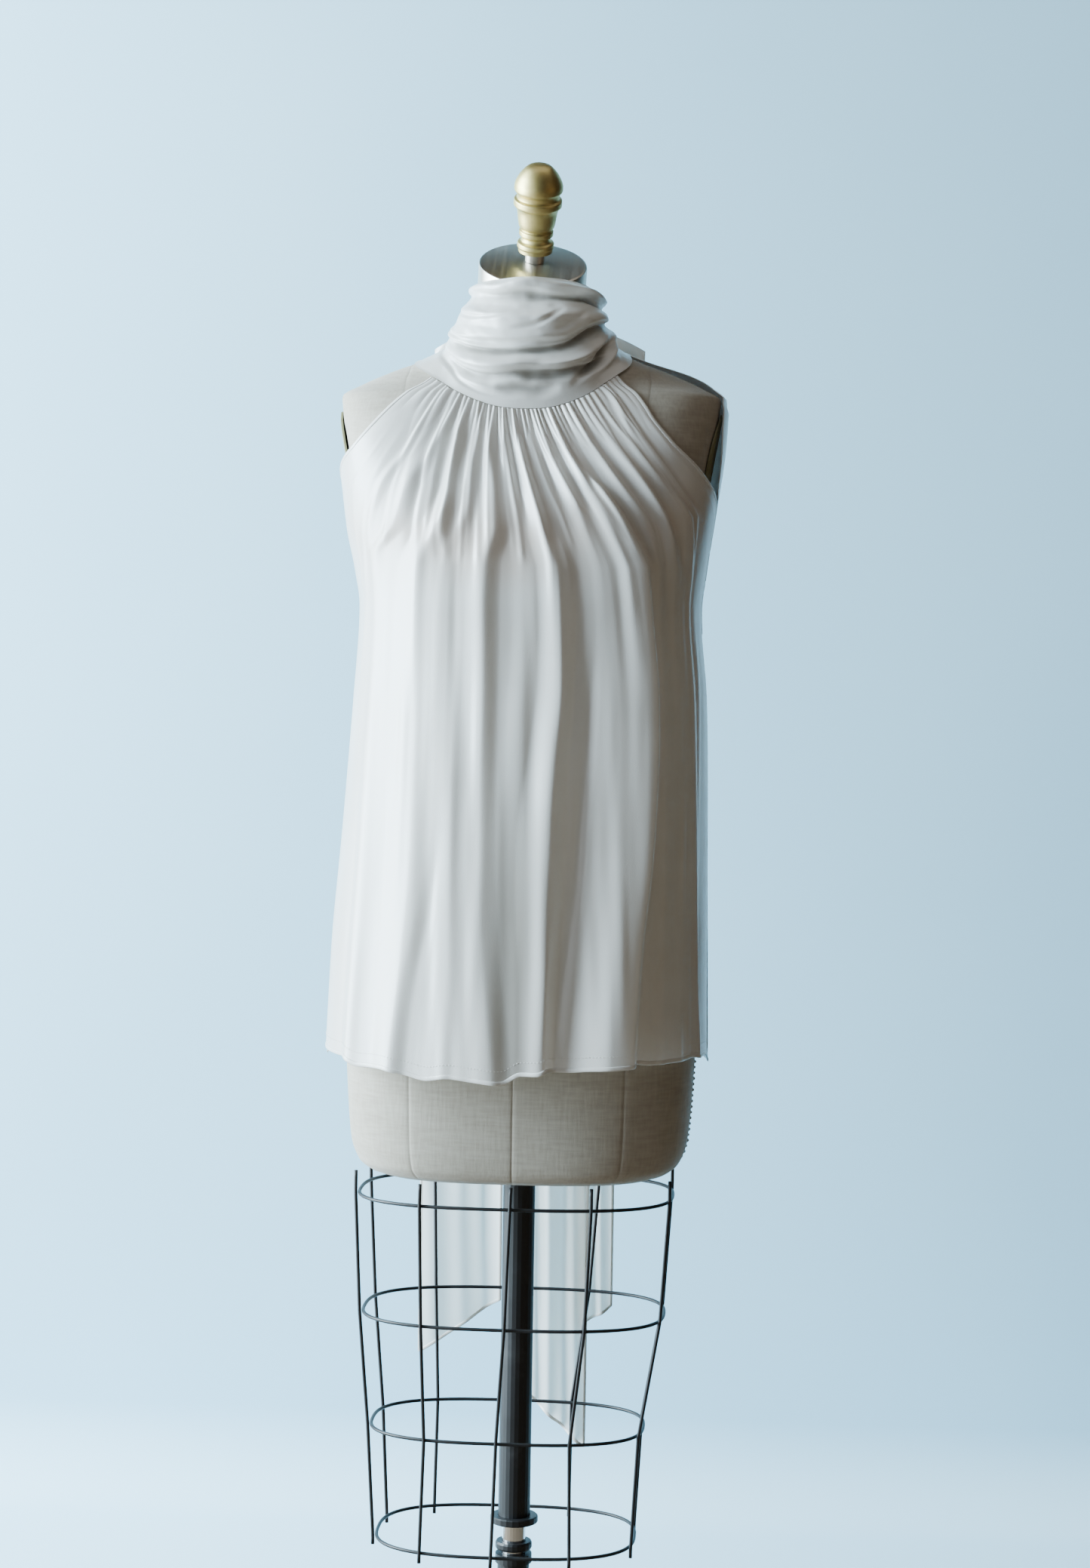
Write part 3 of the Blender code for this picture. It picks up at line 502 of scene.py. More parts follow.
def stitchTree():
    tree = bpy.data.node_groups.new("stitchRow", "GeometryNodeTree")
    tree.interface.new_socket("Geometry", in_out="INPUT", socket_type="NodeSocketGeometry")
    for key, kind in stitchInputs.items():
        tree.interface.new_socket(key, in_out="INPUT", socket_type="NodeSocket" + kind)
    tree.interface.new_socket("Geometry", in_out="OUTPUT", socket_type="NodeSocketGeometry")

    def add(kind, inputs={}, **settings):
        made = tree.nodes.new(kind)
        for key, value in settings.items():
            setattr(made, key, value)
        for key, value in inputs.items():
            if isinstance(value, bpy.types.Node):
                value = value.outputs[0]
            if isinstance(value, bpy.types.NodeSocket):
                tree.links.new(value, made.inputs[key])
            else:
                made.inputs[key].default_value = value
        return made

    given = add("NodeGroupInput").outputs
    curve = add("GeometryNodeMeshToCurve", {"Mesh": given["Geometry"]})
    spaced = {"Curve": curve, "Length": given["Spacing"]}
    evenly = add("GeometryNodeResampleCurve", spaced, mode="LENGTH")
    outward = add("GeometryNodeInputNamedAttribute", {"Name": "outward"}, data_type="FLOAT_VECTOR")
    tangent = add("GeometryNodeInputTangent")
    axes = {"Primary Axis": tangent, "Secondary Axis": outward}
    turn = add("FunctionNodeAxesToRotation", axes, primary_axis="X", secondary_axis="Z")
    least = add("ShaderNodeMath", {0: 1.0, 1: given["Uneven"]}, operation="SUBTRACT")
    limits = {"Min": least, "Max": 1.0, "Seed": given["Seed"]}
    size = add("FunctionNodeRandomValue", limits, data_type="FLOAT")
    shape = add("ShaderNodeCombineXYZ", {"X": given["Along"], "Y": given["Across"], "Z": given["Thick"]})
    varied = add("ShaderNodeVectorMath", {0: shape}, operation="SCALE")
    floats = [socket for socket in size.outputs if socket.type == "VALUE" and socket.enabled]
    tree.links.new(floats[0], varied.inputs["Scale"])
    bead = add("GeometryNodeMeshIcoSphere", {"Radius": 0.5, "Subdivisions": 2})
    placed = add("GeometryNodeInstanceOnPoints", {"Points": evenly, "Instance": bead,
                                                  "Rotation": turn, "Scale": varied})
    real = add("GeometryNodeRealizeInstances", {"Geometry": placed})
    coloured = add("GeometryNodeSetMaterial", {"Geometry": real, "Material": given["Thread"]})
    add("NodeGroupOutput", {"Geometry": coloured})
    return tree


stitching = stitchTree()


def stitchRow(name, path, normals, look, sizes):
    mesh = bpy.data.meshes.new(name + "Path")
    mesh.from_pydata(path.tolist(), [(k, k + 1) for k in range(len(path) - 1)], [])
    outward = mesh.attributes.new("outward", "FLOAT_VECTOR", "POINT")
    outward.data.foreach_set("vector", normals.ravel())
    line = bpy.data.objects.new(name + "Path", mesh)
    link(line)
    modifier = line.modifiers.new("stitches", "NODES")
    modifier.node_group = stitching
    items = stitching.interface.items_tree
    sockets = {item.name: item.identifier for item in items if item.in_out == "INPUT"}
    for key, value in dict(sizes, Thread=look).items():
        modifier[sockets[key]] = value
    bpy.context.view_layer.update()
    made = bpy.data.meshes.new_from_object(line.evaluated_get(bpy.context.evaluated_depsgraph_get()))
    line.modifiers.remove(modifier)
    bpy.data.objects.remove(line)
    made.name = name
    addPiece(name, made)


# Cloth edges, in metres

hemEdge = dict(depth=0.0042, thick=0.0012)
armholeEdge = dict(depth=0.0040, thick=0.0012)
tieEdge = dict(depth=0.0034, thick=0.001)
hemStitch = dict(Spacing=0.0034, Along=0.0021, Across=0.0006, Thick=0.0005, Uneven=0.25, Seed=11)
stitchLift = 0.0004


def silkSheet(name, points, look, node, near=0.0, paintedShade=0.0, closed=False, flip=False):
    # A sewn piece, marked where the form is near it and where painted shade darkens a deep fold
    return gridPiece(name, points, look, [node], {"near": near, "paintedShade": paintedShade}, closed, flip)


def silkEdge(name, path, normals, section):
    return tubePiece(name, path, normals, hemSection(**section), silk)


def stitchCloth(name, path, normals):
    stitchRow(name, path + normals * stitchLift, normals, silk, hemStitch)


def finishPanel(name, points, normals, panel):
    # Hem and armholes, each from its first to its last row of points, and the hem's stitches
    trims = [silkEdge(name + "_hem", points[-1], normals[-1], hemEdge)]
    for side, column, first, last in panel.armholes:
        edge = points[first:last, column]
        trims.append(silkEdge(name + "_armhole_" + side, edge, normals[first:last, column], armholeEdge))
    stitchCloth(name + "_hem_stitches", points[-3], normals[-3])


# Front panel. A place on a panel is a share of its width and a fall: 0 at the neckline, 1 at the bust and
# 2 at the hem. fan: share and angle of the threads at the hem. side: fall, and how far both edges have fanned

front = Sizes(
    neck=(-58.0, 55.7), rows=230, columns=380, crowd=1.35, gathers=40, gatherDepth=0.0030,
    fan=np.array((
        (0, -90), (0.05, -57), (0.16, -35), (0.31, -12), (0.44, 13), (0.66, 42), (0.80, 56), (0.93, 68),
        (1, 90),
    ), float),
    side=np.array((
        (0, 0, 0), (0.20, 0.10, 0.02), (0.35, 0.25, 0.10), (0.50, 0.72, 0.35), (0.56, 1, 0.50), (0.70, 1, 1),
    ), float),
    nearGap=0.005, nearFade=0.020, nearStart=0.4, nearSpan=0.5, liftStart=1.5, liftSpan=0.5,
    armholes=(("left", 0, 2, 125), ("right", -1, 2, 150)),
    stitched=(("left", 2, 2, 125), ("right", -3, 2, 150)), flat=(0.66, 0.72), area=0.40,
)
# How far all threads have fanned out at each fall
fanEase = np.array(((0, 0), (0.25, 0.28), (0.5, 0.54), (0.75, 0.78), (1, 0.94), (1.25, 1), (2, 1)))
# Main folds of the front. A row is: fall, share across, height and half widths in mm
frontRidges = (
    ((0, .322, 1, 5, 5), (.24, .331, 4, 10, 8), (.49, .343, 6, 15, 11), (.74, .341, 6, 20, 16),
     (1.01, .315, 4.5, 20, 16), (1.28, .315, 4, 20, 15), (1.6, .318, 3, 24, 18), (2, .345, 4, 34, 20)),
    ((0, .440, 1, 5, 5), (.28, .445, 4, 10, 8), (.57, .448, 6, 15, 11), (.80, .453, 6, 20, 15),
     (1.07, .459, 7, 24, 17), (1.22, .458, 8, 26, 17), (1.37, .443, 9, 28, 17), (1.51, .430, 10, 30, 18),
     (1.67, .425, 10, 28, 17), (1.81, .428, 9, 26, 14), (2, .430, 8, 26, 13)),
    ((0, .638, 1, 5, 5), (.36, .631, 5, 12, 8), (.53, .657, 8, 20, 9), (.76, .655, 11, 42, 12),
     (1.04, .662, 18, 62, 16), (1.27, .664, 26, 72, 20), (1.53, .645, 27, 72, 20), (1.76, .620, 25, 68, 20),
     (2, .608, 23, 64, 20)),
    ((0, .835, 1, 5, 5), (.46, .818, 4, 12, 7), (.73, .792, 5, 18, 9), (.92, .804, 4, 20, 12),
     (1.06, .830, 2.5, 20, 16), (1.45, .840, 1, 22, 18), (2, .830, 4, 34, 24)),
    ((0, .930, 1, 4, 4), (.38, .883, 3, 9, 7), (.81, .899, 4, 13, 9), (1.20, .910, 3, 18, 12),
     (2, .935, 5, 26, 16)),
    ((0, .265, 1, 5, 5), (.18, .285, 3, 8, 6), (.39, .276, 4, 11, 8), (.62, .274, 3, 13, 10),
     (.95, .240, 0, 14, 12), (2, .24, 0, 14, 12)),
    ((0, .197, 1, 5, 5), (.28, .216, 4, 10, 8), (.52, .225, 4, 17, 12), (.76, .201, 5, 22, 16),
     (1.02, .158, 4, 30, 22), (1.3, .150, 2, 36, 30), (1.73, .155, 5, 40, 24), (2, .149, 8, 42, 22)),
    ((0, .168, 1, 4, 4), (.34, .141, 3, 12, 9), (.56, .110, 3, 18, 14), (.77, .098, 3, 18, 14),
     (.94, .062, 2, 16, 12), (1.2, .060, 0, 16, 12), (2, .06, 0, 16, 12)),
    ((0, .096, 1, 4, 4), (.33, .084, 3, 8, 6), (.53, .064, 3, 10, 8), (.92, .052, 1, 14, 10),
     (1.4, .054, 2, 20, 16), (2, .055, 6, 30, 22)),
    ((0, .530, 0, 8, 6), (1.1, .540, 0, 8, 6), (1.3, .526, -2, 14, 8), (1.55, .491, -3, 16, 9),
     (1.81, .466, -3, 18, 11), (2, .450, -2, 18, 12)),
    ((0, .210, 0, 8, 6), (1.5, .215, 0, 12, 9), (1.66, .201, -1, 12, 10), (1.82, .181, -1.5, 13, 11),
     (2, .172, -1.5, 14, 12)),
    ((0, .550, 1, 4, 4), (.3, .552, 3, 8, 6), (.6, .560, 4, 11, 8), (.95, .562, 3, 18, 12),
     (1.4, .565, 1, 26, 18), (2, .550, 7, 34, 24)),
    ((0, .745, 1, 4, 4), (.3, .735, 3, 8, 6), (.6, .738, 4, 11, 8), (.95, .742, 2, 14, 11),
     (1.3, .75, 0, 16, 14), (2, .745, 0, 16, 14)),
    ((0, .385, 1, 4, 4), (.2, .388, 2, 7, 5), (.5, .392, 2, 9, 7), (.8, .395, 0, 10, 9), (2, .395, 0, 10, 9)),
    ((0, .38, 0, 9, 9), (1.0, .385, 0, 9, 9), (1.25, .385, 1.2, 16, 12), (1.6, .39, 1.5, 18, 12),
     (2, .40, 0, 18, 12)),
    ((0, .25, 0, 9, 9), (1.1, .245, 0, 9, 9), (1.4, .25, 1.2, 22, 16), (1.75, .26, 1.5, 24, 16),
     (2, .27, 0, 24, 16)),
    ((0, .77, 0, 9, 9), (1.1, .775, 0, 9, 9), (1.4, .77, 1, 18, 14), (1.75, .745, 1.5, 22, 16),
     (2, .74, 3.5, 24, 18)),
)
# The front hem's height along its width: share and rise in metres
hemLift = np.array((
    (0, .0100), (.045, .0095), (.071, .0030), (.12, .0040), (.16, .0007), (.21, -.0040), (.26, -.0010),
    (.32, -.0034), (.358, -.0052), (.39, .0040), (.417, .0048), (.433, .0078), (.483, .0084), (.519, .0104),
    (.587, .0125), (.639, .0138), (.70, .0120), (.773, .0124), (.85, .0128), (.909, .0141), (.962, .0108),
    (1, .0106),
))
# Painted shade on the front, where the dark inside and the hollow under the bust lie in shadow: fall, place
# across, strength, half widths on both sides in mm
frontShade = (
    ((0, .385, 0, 20, 20), (1.3, .385, 0, 30, 30), (1.5, .382, 0.6, 44, 34), (1.7, .380, 1.0, 44, 36),
     (2, .380, 0.9, 44, 34)),
    ((0, .26, 0, 40, 40), (.95, .26, 0, 40, 40), (1.05, .27, 0.25, 46, 50), (1.15, .27, 0.12, 46, 50),
     (1.35, .27, 0, 40, 40), (2, .27, 0, 40, 40)),
)


def panelPlace(panel, share, fall):
    start = np.radians(lerp(*panel.neck, share))
    end = np.radians(lookUp(panel.fan, share, 1))
    side = np.where(share < 0.5, lookUp(panel.side, fall, 1), lookUp(panel.side, fall, 2))
    angle = lerp(start, end, lerp(lookUp(fanEase, fall, 1), side, np.abs(2 * share - 1) ** 4))
    z = np.where(fall < 1, lerp(neckSeamZ(start), bustZ, fall), lerp(bustZ, hemZ, fall - 1))
    return angle, z


def evenShares(fan, columns, mixed=0.55):
    # Shares across a panel, about evenly spaced both at the neckline and at the hem
    fine = np.linspace(0, 1, 2001)
    angle = lookUp(fan, fine, 1)
    even = lerp(fine, (angle - angle[0]) / (angle[-1] - angle[0]), mixed)
    return np.interp(np.linspace(0, 1, columns), even, fine)


def puckers(share, fall, count, depth):
    # Small gathers at the seam: narrow dark creases between rounded puffs, which join into soft folds
    place = share * count + 0.20 * wander(share, count // 2)
    length = wander(share, count, 0.14, 0.34)
    puff = np.abs(np.sin(np.pi * place)) ** 0.8 * wander(share, count, 0.7, 1.2)
    height = depth * puff * np.clip(1 - fall / length, 0, 1) ** 0.8
    place = 0.42 * count * share + 0.4 * wander(share, count // 4) + 0.12 * wander(share, 7) * fall
    fold = np.abs(np.sin(np.pi * place)) ** 1.3 * wander(share, count // 3, 0.4, 1.2)
    return height + 1.6 * depth * fold * bump(fall - 0.36, 0.58)


def fineFolds(share, fall, perShare, count, starts, lengths, widths, steep=0.00024):
    # Thin folds between the main ones, each with its own start, length, width in mm and height
    height = np.zeros_like(share)
    for k in range(count):
        middle = (k + seed.uniform(0.1, 0.9)) / count + seed.uniform(-0.02, 0.02) * fall
        start, length, width = seed.uniform(*starts), seed.uniform(*lengths), seed.uniform(*widths)
        along = np.clip(4 * bump((fall - start) / length - 0.5, 0.5), 0, 1)
        distance = (share - middle) * perShare * 1000
        peak = steep * width * seed.uniform(0.6, 1.3)
        height += peak * along * crest(distance, width * (1 + 0.5 * fall), 0.3)
    return height


def panelFolds(panel, ridges):
    # Main folds, gathers, thin folds and ripples of a panel, calmer beside its armholes
    down = 2 * np.linspace(0, 1, panel.rows) ** panel.crowd
    share, fall = np.meshgrid(evenShares(panel.fan, panel.columns), down)
    angle, z = panelPlace(panel, share, fall)
    reach = clothReach(angle, z) + cloth.lift
    perShare = metresPerShare(polar(angle, reach, z), share)
    gathers = panel.gathers
    drift = 5 * speckle(share, fall / 2, 6, 5) * smooth(fall / 0.9)
    height = ridgeField(ridges, share, fall, perShare, drift=drift)
    height += puckers(share[:1], fall, gathers, panel.gatherDepth)
    thin = fineFolds(share, fall, perShare, gathers - 12, (-0.1, 0.25), (0.7, 1.2), (2.5, 6))
    height += thin * smooth(fall / 0.3)
    height += 0.45 * fineFolds(share, fall, perShare, gathers // 3, (0.6, 1.3), (0.8, 1.3), (6, 14))
    ripple = 0.0009 * speckle(share, fall / 2, 20, 4) + 0.0005 * speckle(share, fall / 2, 52, 9)
    calm = lerp(0.15, 1, smooth(np.minimum(share, 1 - share) / 0.15))
    height = (height + ripple * smooth(fall / 0.35)) * lerp(1, calm, bump(fall - 0.55, 0.65))
    return share, fall, angle, z, reach, height


def buildFront():
    share, fall, angle, z, reach, height = panelFolds(front, frontRidges)
    z = z + lookUp(hemLift, share, 1) * smooth((fall - front.liftStart) / front.liftSpan)
    gap = reach + height - torsoReach(angle, z)
    near = smooth(1 - (gap - front.nearGap) / front.nearFade)
    near = near * smooth((fall - front.nearStart) / front.nearSpan)
    points = polar(angle, reach + height, z)
    # Painted shade on the front from the table above, passed to the silk material
    paintedShade = 1000 * ridgeField(frontShade, share, fall, metresPerShare(points, share), 1.0, blunt=99.0)
    piece = silkSheet("blouse_front", points, silk, "front_panel", near, paintedShade)
    normals = outwardNormals(points)
    finishPanel("front", points, normals, front)
    for side, column, first, last in front.stitched:
        stitchCloth("front_armhole_stitches_" + side, points[first:last, column], normals[first:last, column])


buildFront()
print("front made")

# Back panel

back = Sizes(
    neck=(93.0, 255.0), rows=130, columns=220, crowd=1.25, gathers=24, gatherDepth=0.0026,
    standOff=0.012, standOffZ=1.420, standOffSpan=0.028, standOffShare=0.3, nearGap=0.0015, nearFade=0.010,
    fan=np.array(((0, 90), (0.12, 112), (0.5, 180), (0.88, 248), (1, 270)), float),
    side=np.array((
        (0, 0, 0), (0.12, 1.5, 0), (0.25, 3.6, 0), (0.40, 4.3, 0), (0.60, 4.0, 1), (0.65, 3.0, 1),
        (0.70, 1.4, 1), (0.74, 0.6, 1), (0.78, 1, 1),
    ), float),
    armholes=(("right", 0, 1, 66), ("left", -1, 1, 60)), flat=(0.60, 0.75), area=0.38,
)
backRidges = (
    ((0, .09, 1, 5, 5), (.5, .085, 3, 9, 8), (1, .09, 4, 14, 12), (2, .09, 8, 20, 16)),
    ((0, .24, 1, 5, 5), (.5, .235, 4, 10, 8), (1, .22, 6, 18, 12), (1.5, .235, 9, 24, 14),
     (2, .23, 14, 26, 18)),
    ((0, .38, 1, 5, 5), (.5, .375, 4, 10, 8), (1, .37, 5, 16, 12), (1.5, .36, 7, 20, 14),
     (2, .37, 10, 24, 18)),
    ((0, .50, 1, 5, 5), (.5, .51, 4, 10, 9), (1, .495, 7, 18, 14), (1.5, .50, 9, 22, 18),
     (2, .505, 13, 26, 20)),
    ((0, .63, 1, 5, 5), (.5, .635, 4, 9, 9), (1, .64, 5, 14, 16), (1.5, .645, 7, 18, 18),
     (2, .64, 11, 20, 24)),
    ((0, .77, 1, 5, 5), (.5, .775, 4, 9, 10), (1, .78, 6, 14, 18), (1.5, .775, 9, 16, 22),
     (2, .78, 13, 20, 26)),
    ((0, .91, 1, 5, 5), (.5, .915, 3, 8, 9), (1, .91, 4, 12, 14), (2, .91, 8, 16, 20)),
)


def buildBack():
    share, fall, angle, z, reach, height = panelFolds(back, backRidges)
    proud = bump(z - back.standOffZ, back.standOffSpan) * bump(share, back.standOffShare)
    reach = reach + back.standOff * proud
    gap = reach + height - torsoReach(angle, z)
    near = np.clip(1 - (gap - back.nearGap) / back.nearFade, 0, 1)
    points = polar(angle, reach + height, z)
    piece = silkSheet("blouse_back", points, backSilk, "back_panel", near)
    finishPanel("back", points, outwardNormals(points), back)


buildBack()
print("back made")

# Scarf collar

scarf = Sizes(
    rows=110, columns=300, gap=0.0006, off=0.0028, lift=0.0011, left=0.0565, right=0.0620, front=0.0645,
    rear=0.0680, sideRise=0.42, frontRise=1.3, guard=0.004, flatRise=0.15, foldDepth=0.007, foldShade=0.8,
    creaseEdge=0.45, flat=(0.50, 0.14), area=0.062,
    dents=((13, 4, 0.05, 0.0022), (24, 9, -0.06, 0.0011), (52, 18, 0.05, 0.0005)),
    top=np.array((
        (-180, 1.510), (-90, 1.506), (-30, 1.507), (0, 1.508), (50, 1.506), (90, 1.496), (180, 1.510),
    )),
)
scarfRolls = (  # rise, slant, width, size, angle, span
    (0.93, 0.00, 0.09, 0.0040, 0, 240), (0.66, 0.05, 0.17, 0.0085, 0, 120),
    (0.30, -0.08, 0.18, 0.0070, -15, 90), (0.42, 0.10, 0.16, 0.0050, 100, 60),
    (0.55, 0.00, 0.20, 0.0050, 180, 80), (0.75, 0.00, 0.14, 0.0040, -110, 60),
)

# Soft rolls and creases of the scarf: angle, rise, height, half width below and above, in degrees and mm
scarfFront = (
    ((-180, .96, 3, 8, 6), (-60, .96, 3.5, 8, 6), (0, .965, 4, 9, 6), (60, .95, 5, 9, 6),
     (180, .96, 3, 8, 6)),
    ((-70, .88, 0, 8, 5), (-25, .885, -4, 9, 5), (12, .865, -6, 10, 5), (45, .83, -7, 9, 5),
     (70, .77, -8, 9, 5), (95, .72, -3, 9, 5), (120, .70, 0, 8, 5)),
    ((30, .72, 0, 6, 10), (55, .74, 1.5, 6, 10), (75, .68, 2.5, 6, 10), (100, .62, 2, 7, 10),
     (130, .60, 0, 8, 10)),
    ((-95, .70, 0, 16, 12), (-50, .72, 5, 16, 12), (0, .71, 6, 17, 12), (40, .68, 3, 15, 12),
     (75, .62, 0, 14, 12)),
    ((-75, .66, 0, 4, 4), (-49, .67, -2.5, 5, 4), (-22, .71, -2, 5, 4), (-8, .73, 0, 4, 4),
     (20, .73, 0, 4, 4)),
    ((-12, .60, 0, 5, 4), (4, .63, -2, 6, 5), (16, .70, -2.5, 6, 5), (28, .76, 0, 5, 4)),
    ((18, .60, 0, 5, 4), (30, .64, -1.6, 6, 4), (44, .70, 0, 5, 4)),
    ((-100, .45, 0, 4, 14), (-60, .46, 4, 4, 16), (-20, .51, 7, 4, 18), (19, .54, 7, 4, 18),
     (52, .58, 7, 4, 16), (100, .56, 0, 5, 14)),
    ((-70, .36, 0, 10, 3), (-38, .40, -7, 11, 3), (-3, .44, -8, 12, 3), (19, .47, -8, 12, 3),
     (52, .51, -8, 11, 3), (85, .52, 0, 9, 3)),
    ((-75, .28, 0, 4, 13), (-32, .29, 5, 4, 14), (0, .335, 6, 4, 14), (30, .33, 6, 4, 12),
     (60, .34, 3, 5, 10), (90, .36, 0, 4, 8)),
    ((-60, .20, 0, 10, 3), (-32, .225, -5, 12, 3), (-2, .285, -7, 13, 3), (30, .275, -8, 13, 3),
     (45, .22, -8, 10, 4), (62, .18, 0, 8, 4)),
    ((28, .16, 0, 8, 6), (40, .20, -5, 9, 7), (52, .26, -8, 10, 8), (60, .31, -5, 8, 6), (72, .36, 0, 7, 5)),
    ((45, .12, 0, 6, 5), (58, .17, 4, 7, 6), (70, .26, 5, 7, 6), (84, .36, 3, 7, 6), (98, .42, 0, 6, 5)),
    ((-50, .13, 0, 7, 6), (-30, .14, 3, 8, 7), (-14, .15, 0, 8, 7), (30, .12, 0, 7, 6)),
    ((-20, .16, 0, 10, 8), (-6, .17, -5, 13, 9), (8, .15, -5, 13, 9), (22, .14, 0, 10, 8)),
    ((-90, .17, 0, 3, 6), (-60, .15, -3, 3, 7), (-40, .085, -3, 3, 7), (-21, .09, -2, 3, 6),
     (0, .10, 0, 3, 6)),
    ((-135, .35, 0, 5, 10), (-95, .40, 5, 5, 12), (-75, .40, 5, 5, 12), (-50, .36, 0, 5, 10)),
)
scarfRear = (
    ((95, .30, 0, 4, 8), (130, .28, 4, 4, 8), (180, .36, 3, 4, 8), (235, .30, 4, 4, 8), (270, .34, 0, 4, 8)),
    ((100, .50, 0, 6, 3), (140, .46, -4, 6, 3), (180, .52, -4, 6, 3), (220, .50, -5, 6, 3),
     (262, .55, 0, 6, 3)),
    ((110, .70, 0, 4, 9), (150, .68, 4, 4, 9), (200, .72, 4, 4, 9), (250, .70, 0, 4, 9)),
    ((100, .16, 0, 4, 4), (140, .14, -3, 4, 4), (165, .20, 0, 4, 4)),
    ((200, .20, 0, 4, 4), (225, .15, -3, 4, 4), (260, .16, 0, 4, 4)),
    ((120, .84, 0, 4, 3), (170, .85, -3, 4, 3), (225, .84, -3, 4, 3), (265, .86, 0, 4, 3)),
)


def crumpled(angle, rise):
    # Soft dents all round, slanting a little
    around = angle / (2 * math.pi) + 0.5
    total = np.zeros_like(rise)
    for columns, rows, slant, size in scarf.dents:
        share = (around + slant * rise) % 1
        seam = bump(np.minimum(share, 1 - share), 0.03)
        total += size * (1 - seam) * speckle(share, rise, columns, rows)
    return total * smooth(rise / 0.2)


def scarfPoints(angle, rise):
    degrees = np.degrees(wrap(angle))
    seamZ = neckSeamZ(angle) + scarf.gap
    low = clothReach(angle, seamZ) + scarf.off
    width = np.where(np.sin(angle) > 0, scarf.right, scarf.left)
    high = superReach(angle, width, width, scarf.front, scarf.rear, 2.0)
    bend = lerp(scarf.sideRise, scarf.frontRise, np.cos(angle) ** 2)
    reach = lerp(low, high, rise ** bend)
    z = lerp(seamZ, lookUp(scarf.top, degrees, 1), rise)
    onNeck = z < torsoSections[-1, 0] + scarf.guard
    reach = np.where(onNeck, np.maximum(reach, torsoReach(angle, z) + scarf.off), reach)
    crumple = np.zeros_like(reach)
    for start, slant, wide, size, middle, span in scarfRolls:
        across = (degrees - middle + 180) % 360 - 180
        crumple += size * bump(rise - start - slant * across / 90, wide) * bump(across, span)
    reach = reach + crumple * np.clip(rise / scarf.flatRise, 0, 1) + scarf.lift
    perRise = metresPerShare(polar(angle, reach, z), rise, axis=0)
    drift = 2.5 * speckle((angle / (2 * math.pi) + 0.5) % 1, rise, 14, 4)
    creases = ridgeField(scarfFront, rise, degrees, perRise, scarf.creaseEdge, drift)
    creases = creases + ridgeField(scarfRear, rise, degrees % 360, perRise, scarf.creaseEdge)
    creases = creases + crumpled(angle, rise)
    # Painted shade in the scarf's creases and under its rolls, darker the deeper a crease sinks
    paintedCreaseShade = scarf.foldShade * smooth(-creases / scarf.foldDepth)
    return polar(angle, reach + creases * np.clip(rise / scarf.flatRise, 0.15, 1), z), paintedCreaseShade


def buildScarf():
    angle, rise = np.meshgrid(turns(scarf.columns), np.linspace(1, 0, scarf.rows))
    points, paintedCreaseShade = scarfPoints(angle, rise)
    piece = silkSheet("scarf_collar", points, silk, "neck_scarf", paintedShade=paintedCreaseShade, closed=True)


buildScarf()
print("scarf made")

# Form

# Four of the form's eight seams lie at the quarters. The others turn with height, in degrees from the front
turningSeams = np.array((
    (0.632, 46, 135, 225, 316), (0.860, 46, 135, 225, 316), (1.040, 44, 138, 222, 317),
    (1.225, 46, 138, 222, 314), (1.340, 52, 128, 232, 308), (1.378, 57, 123, 237, 303),
    (1.396, 61, 119, 241, 299), (1.407, 66, 114, 246, 294), (1.420, 72, 108, 252, 288),
    (1.434, 84, 96, 264, 276), (1.458, 84, 96, 264, 276),
), float)
form = Sizes(
    between=17, seamDepth=0.0005, seamWidth=0.0010, capHeight=0.028, neckRadius=0.0525, neckRows=12,
    underShares=(0.93, 0.5), lacingZ=(0.648, 1.30), lacingRows=200, lacingSink=0.0002,
)
# Heights of the form's rows of points: close together at its lower edge and its shoulders
formRows = np.concatenate((
    torsoBottomZ + 0.05 * np.linspace(0, 1, 24, endpoint=False) ** 1.7,
    np.linspace(torsoBottomZ + 0.05, 1.35, 100, endpoint=False), np.linspace(1.35, 1.458, 46),
))
cap = Sizes(centre=(0.0, -0.012, 1.5288), tilt=30.5, lean=4.2)
lacing = dict(Spacing=0.0056, Along=0.0038, Across=0.012, Thick=0.0042, Uneven=0.3, Seed=23)


def headPlace(offset=(0, 0, 0)):
    tilt = Matrix.Rotation(math.radians(cap.tilt), 4, "X")
    lean = Matrix.Rotation(math.radians(cap.lean), 4, "Y")
    return Matrix.Translation(Vector(cap.centre)) @ tilt @ lean @ Matrix.Translation(Vector(offset))


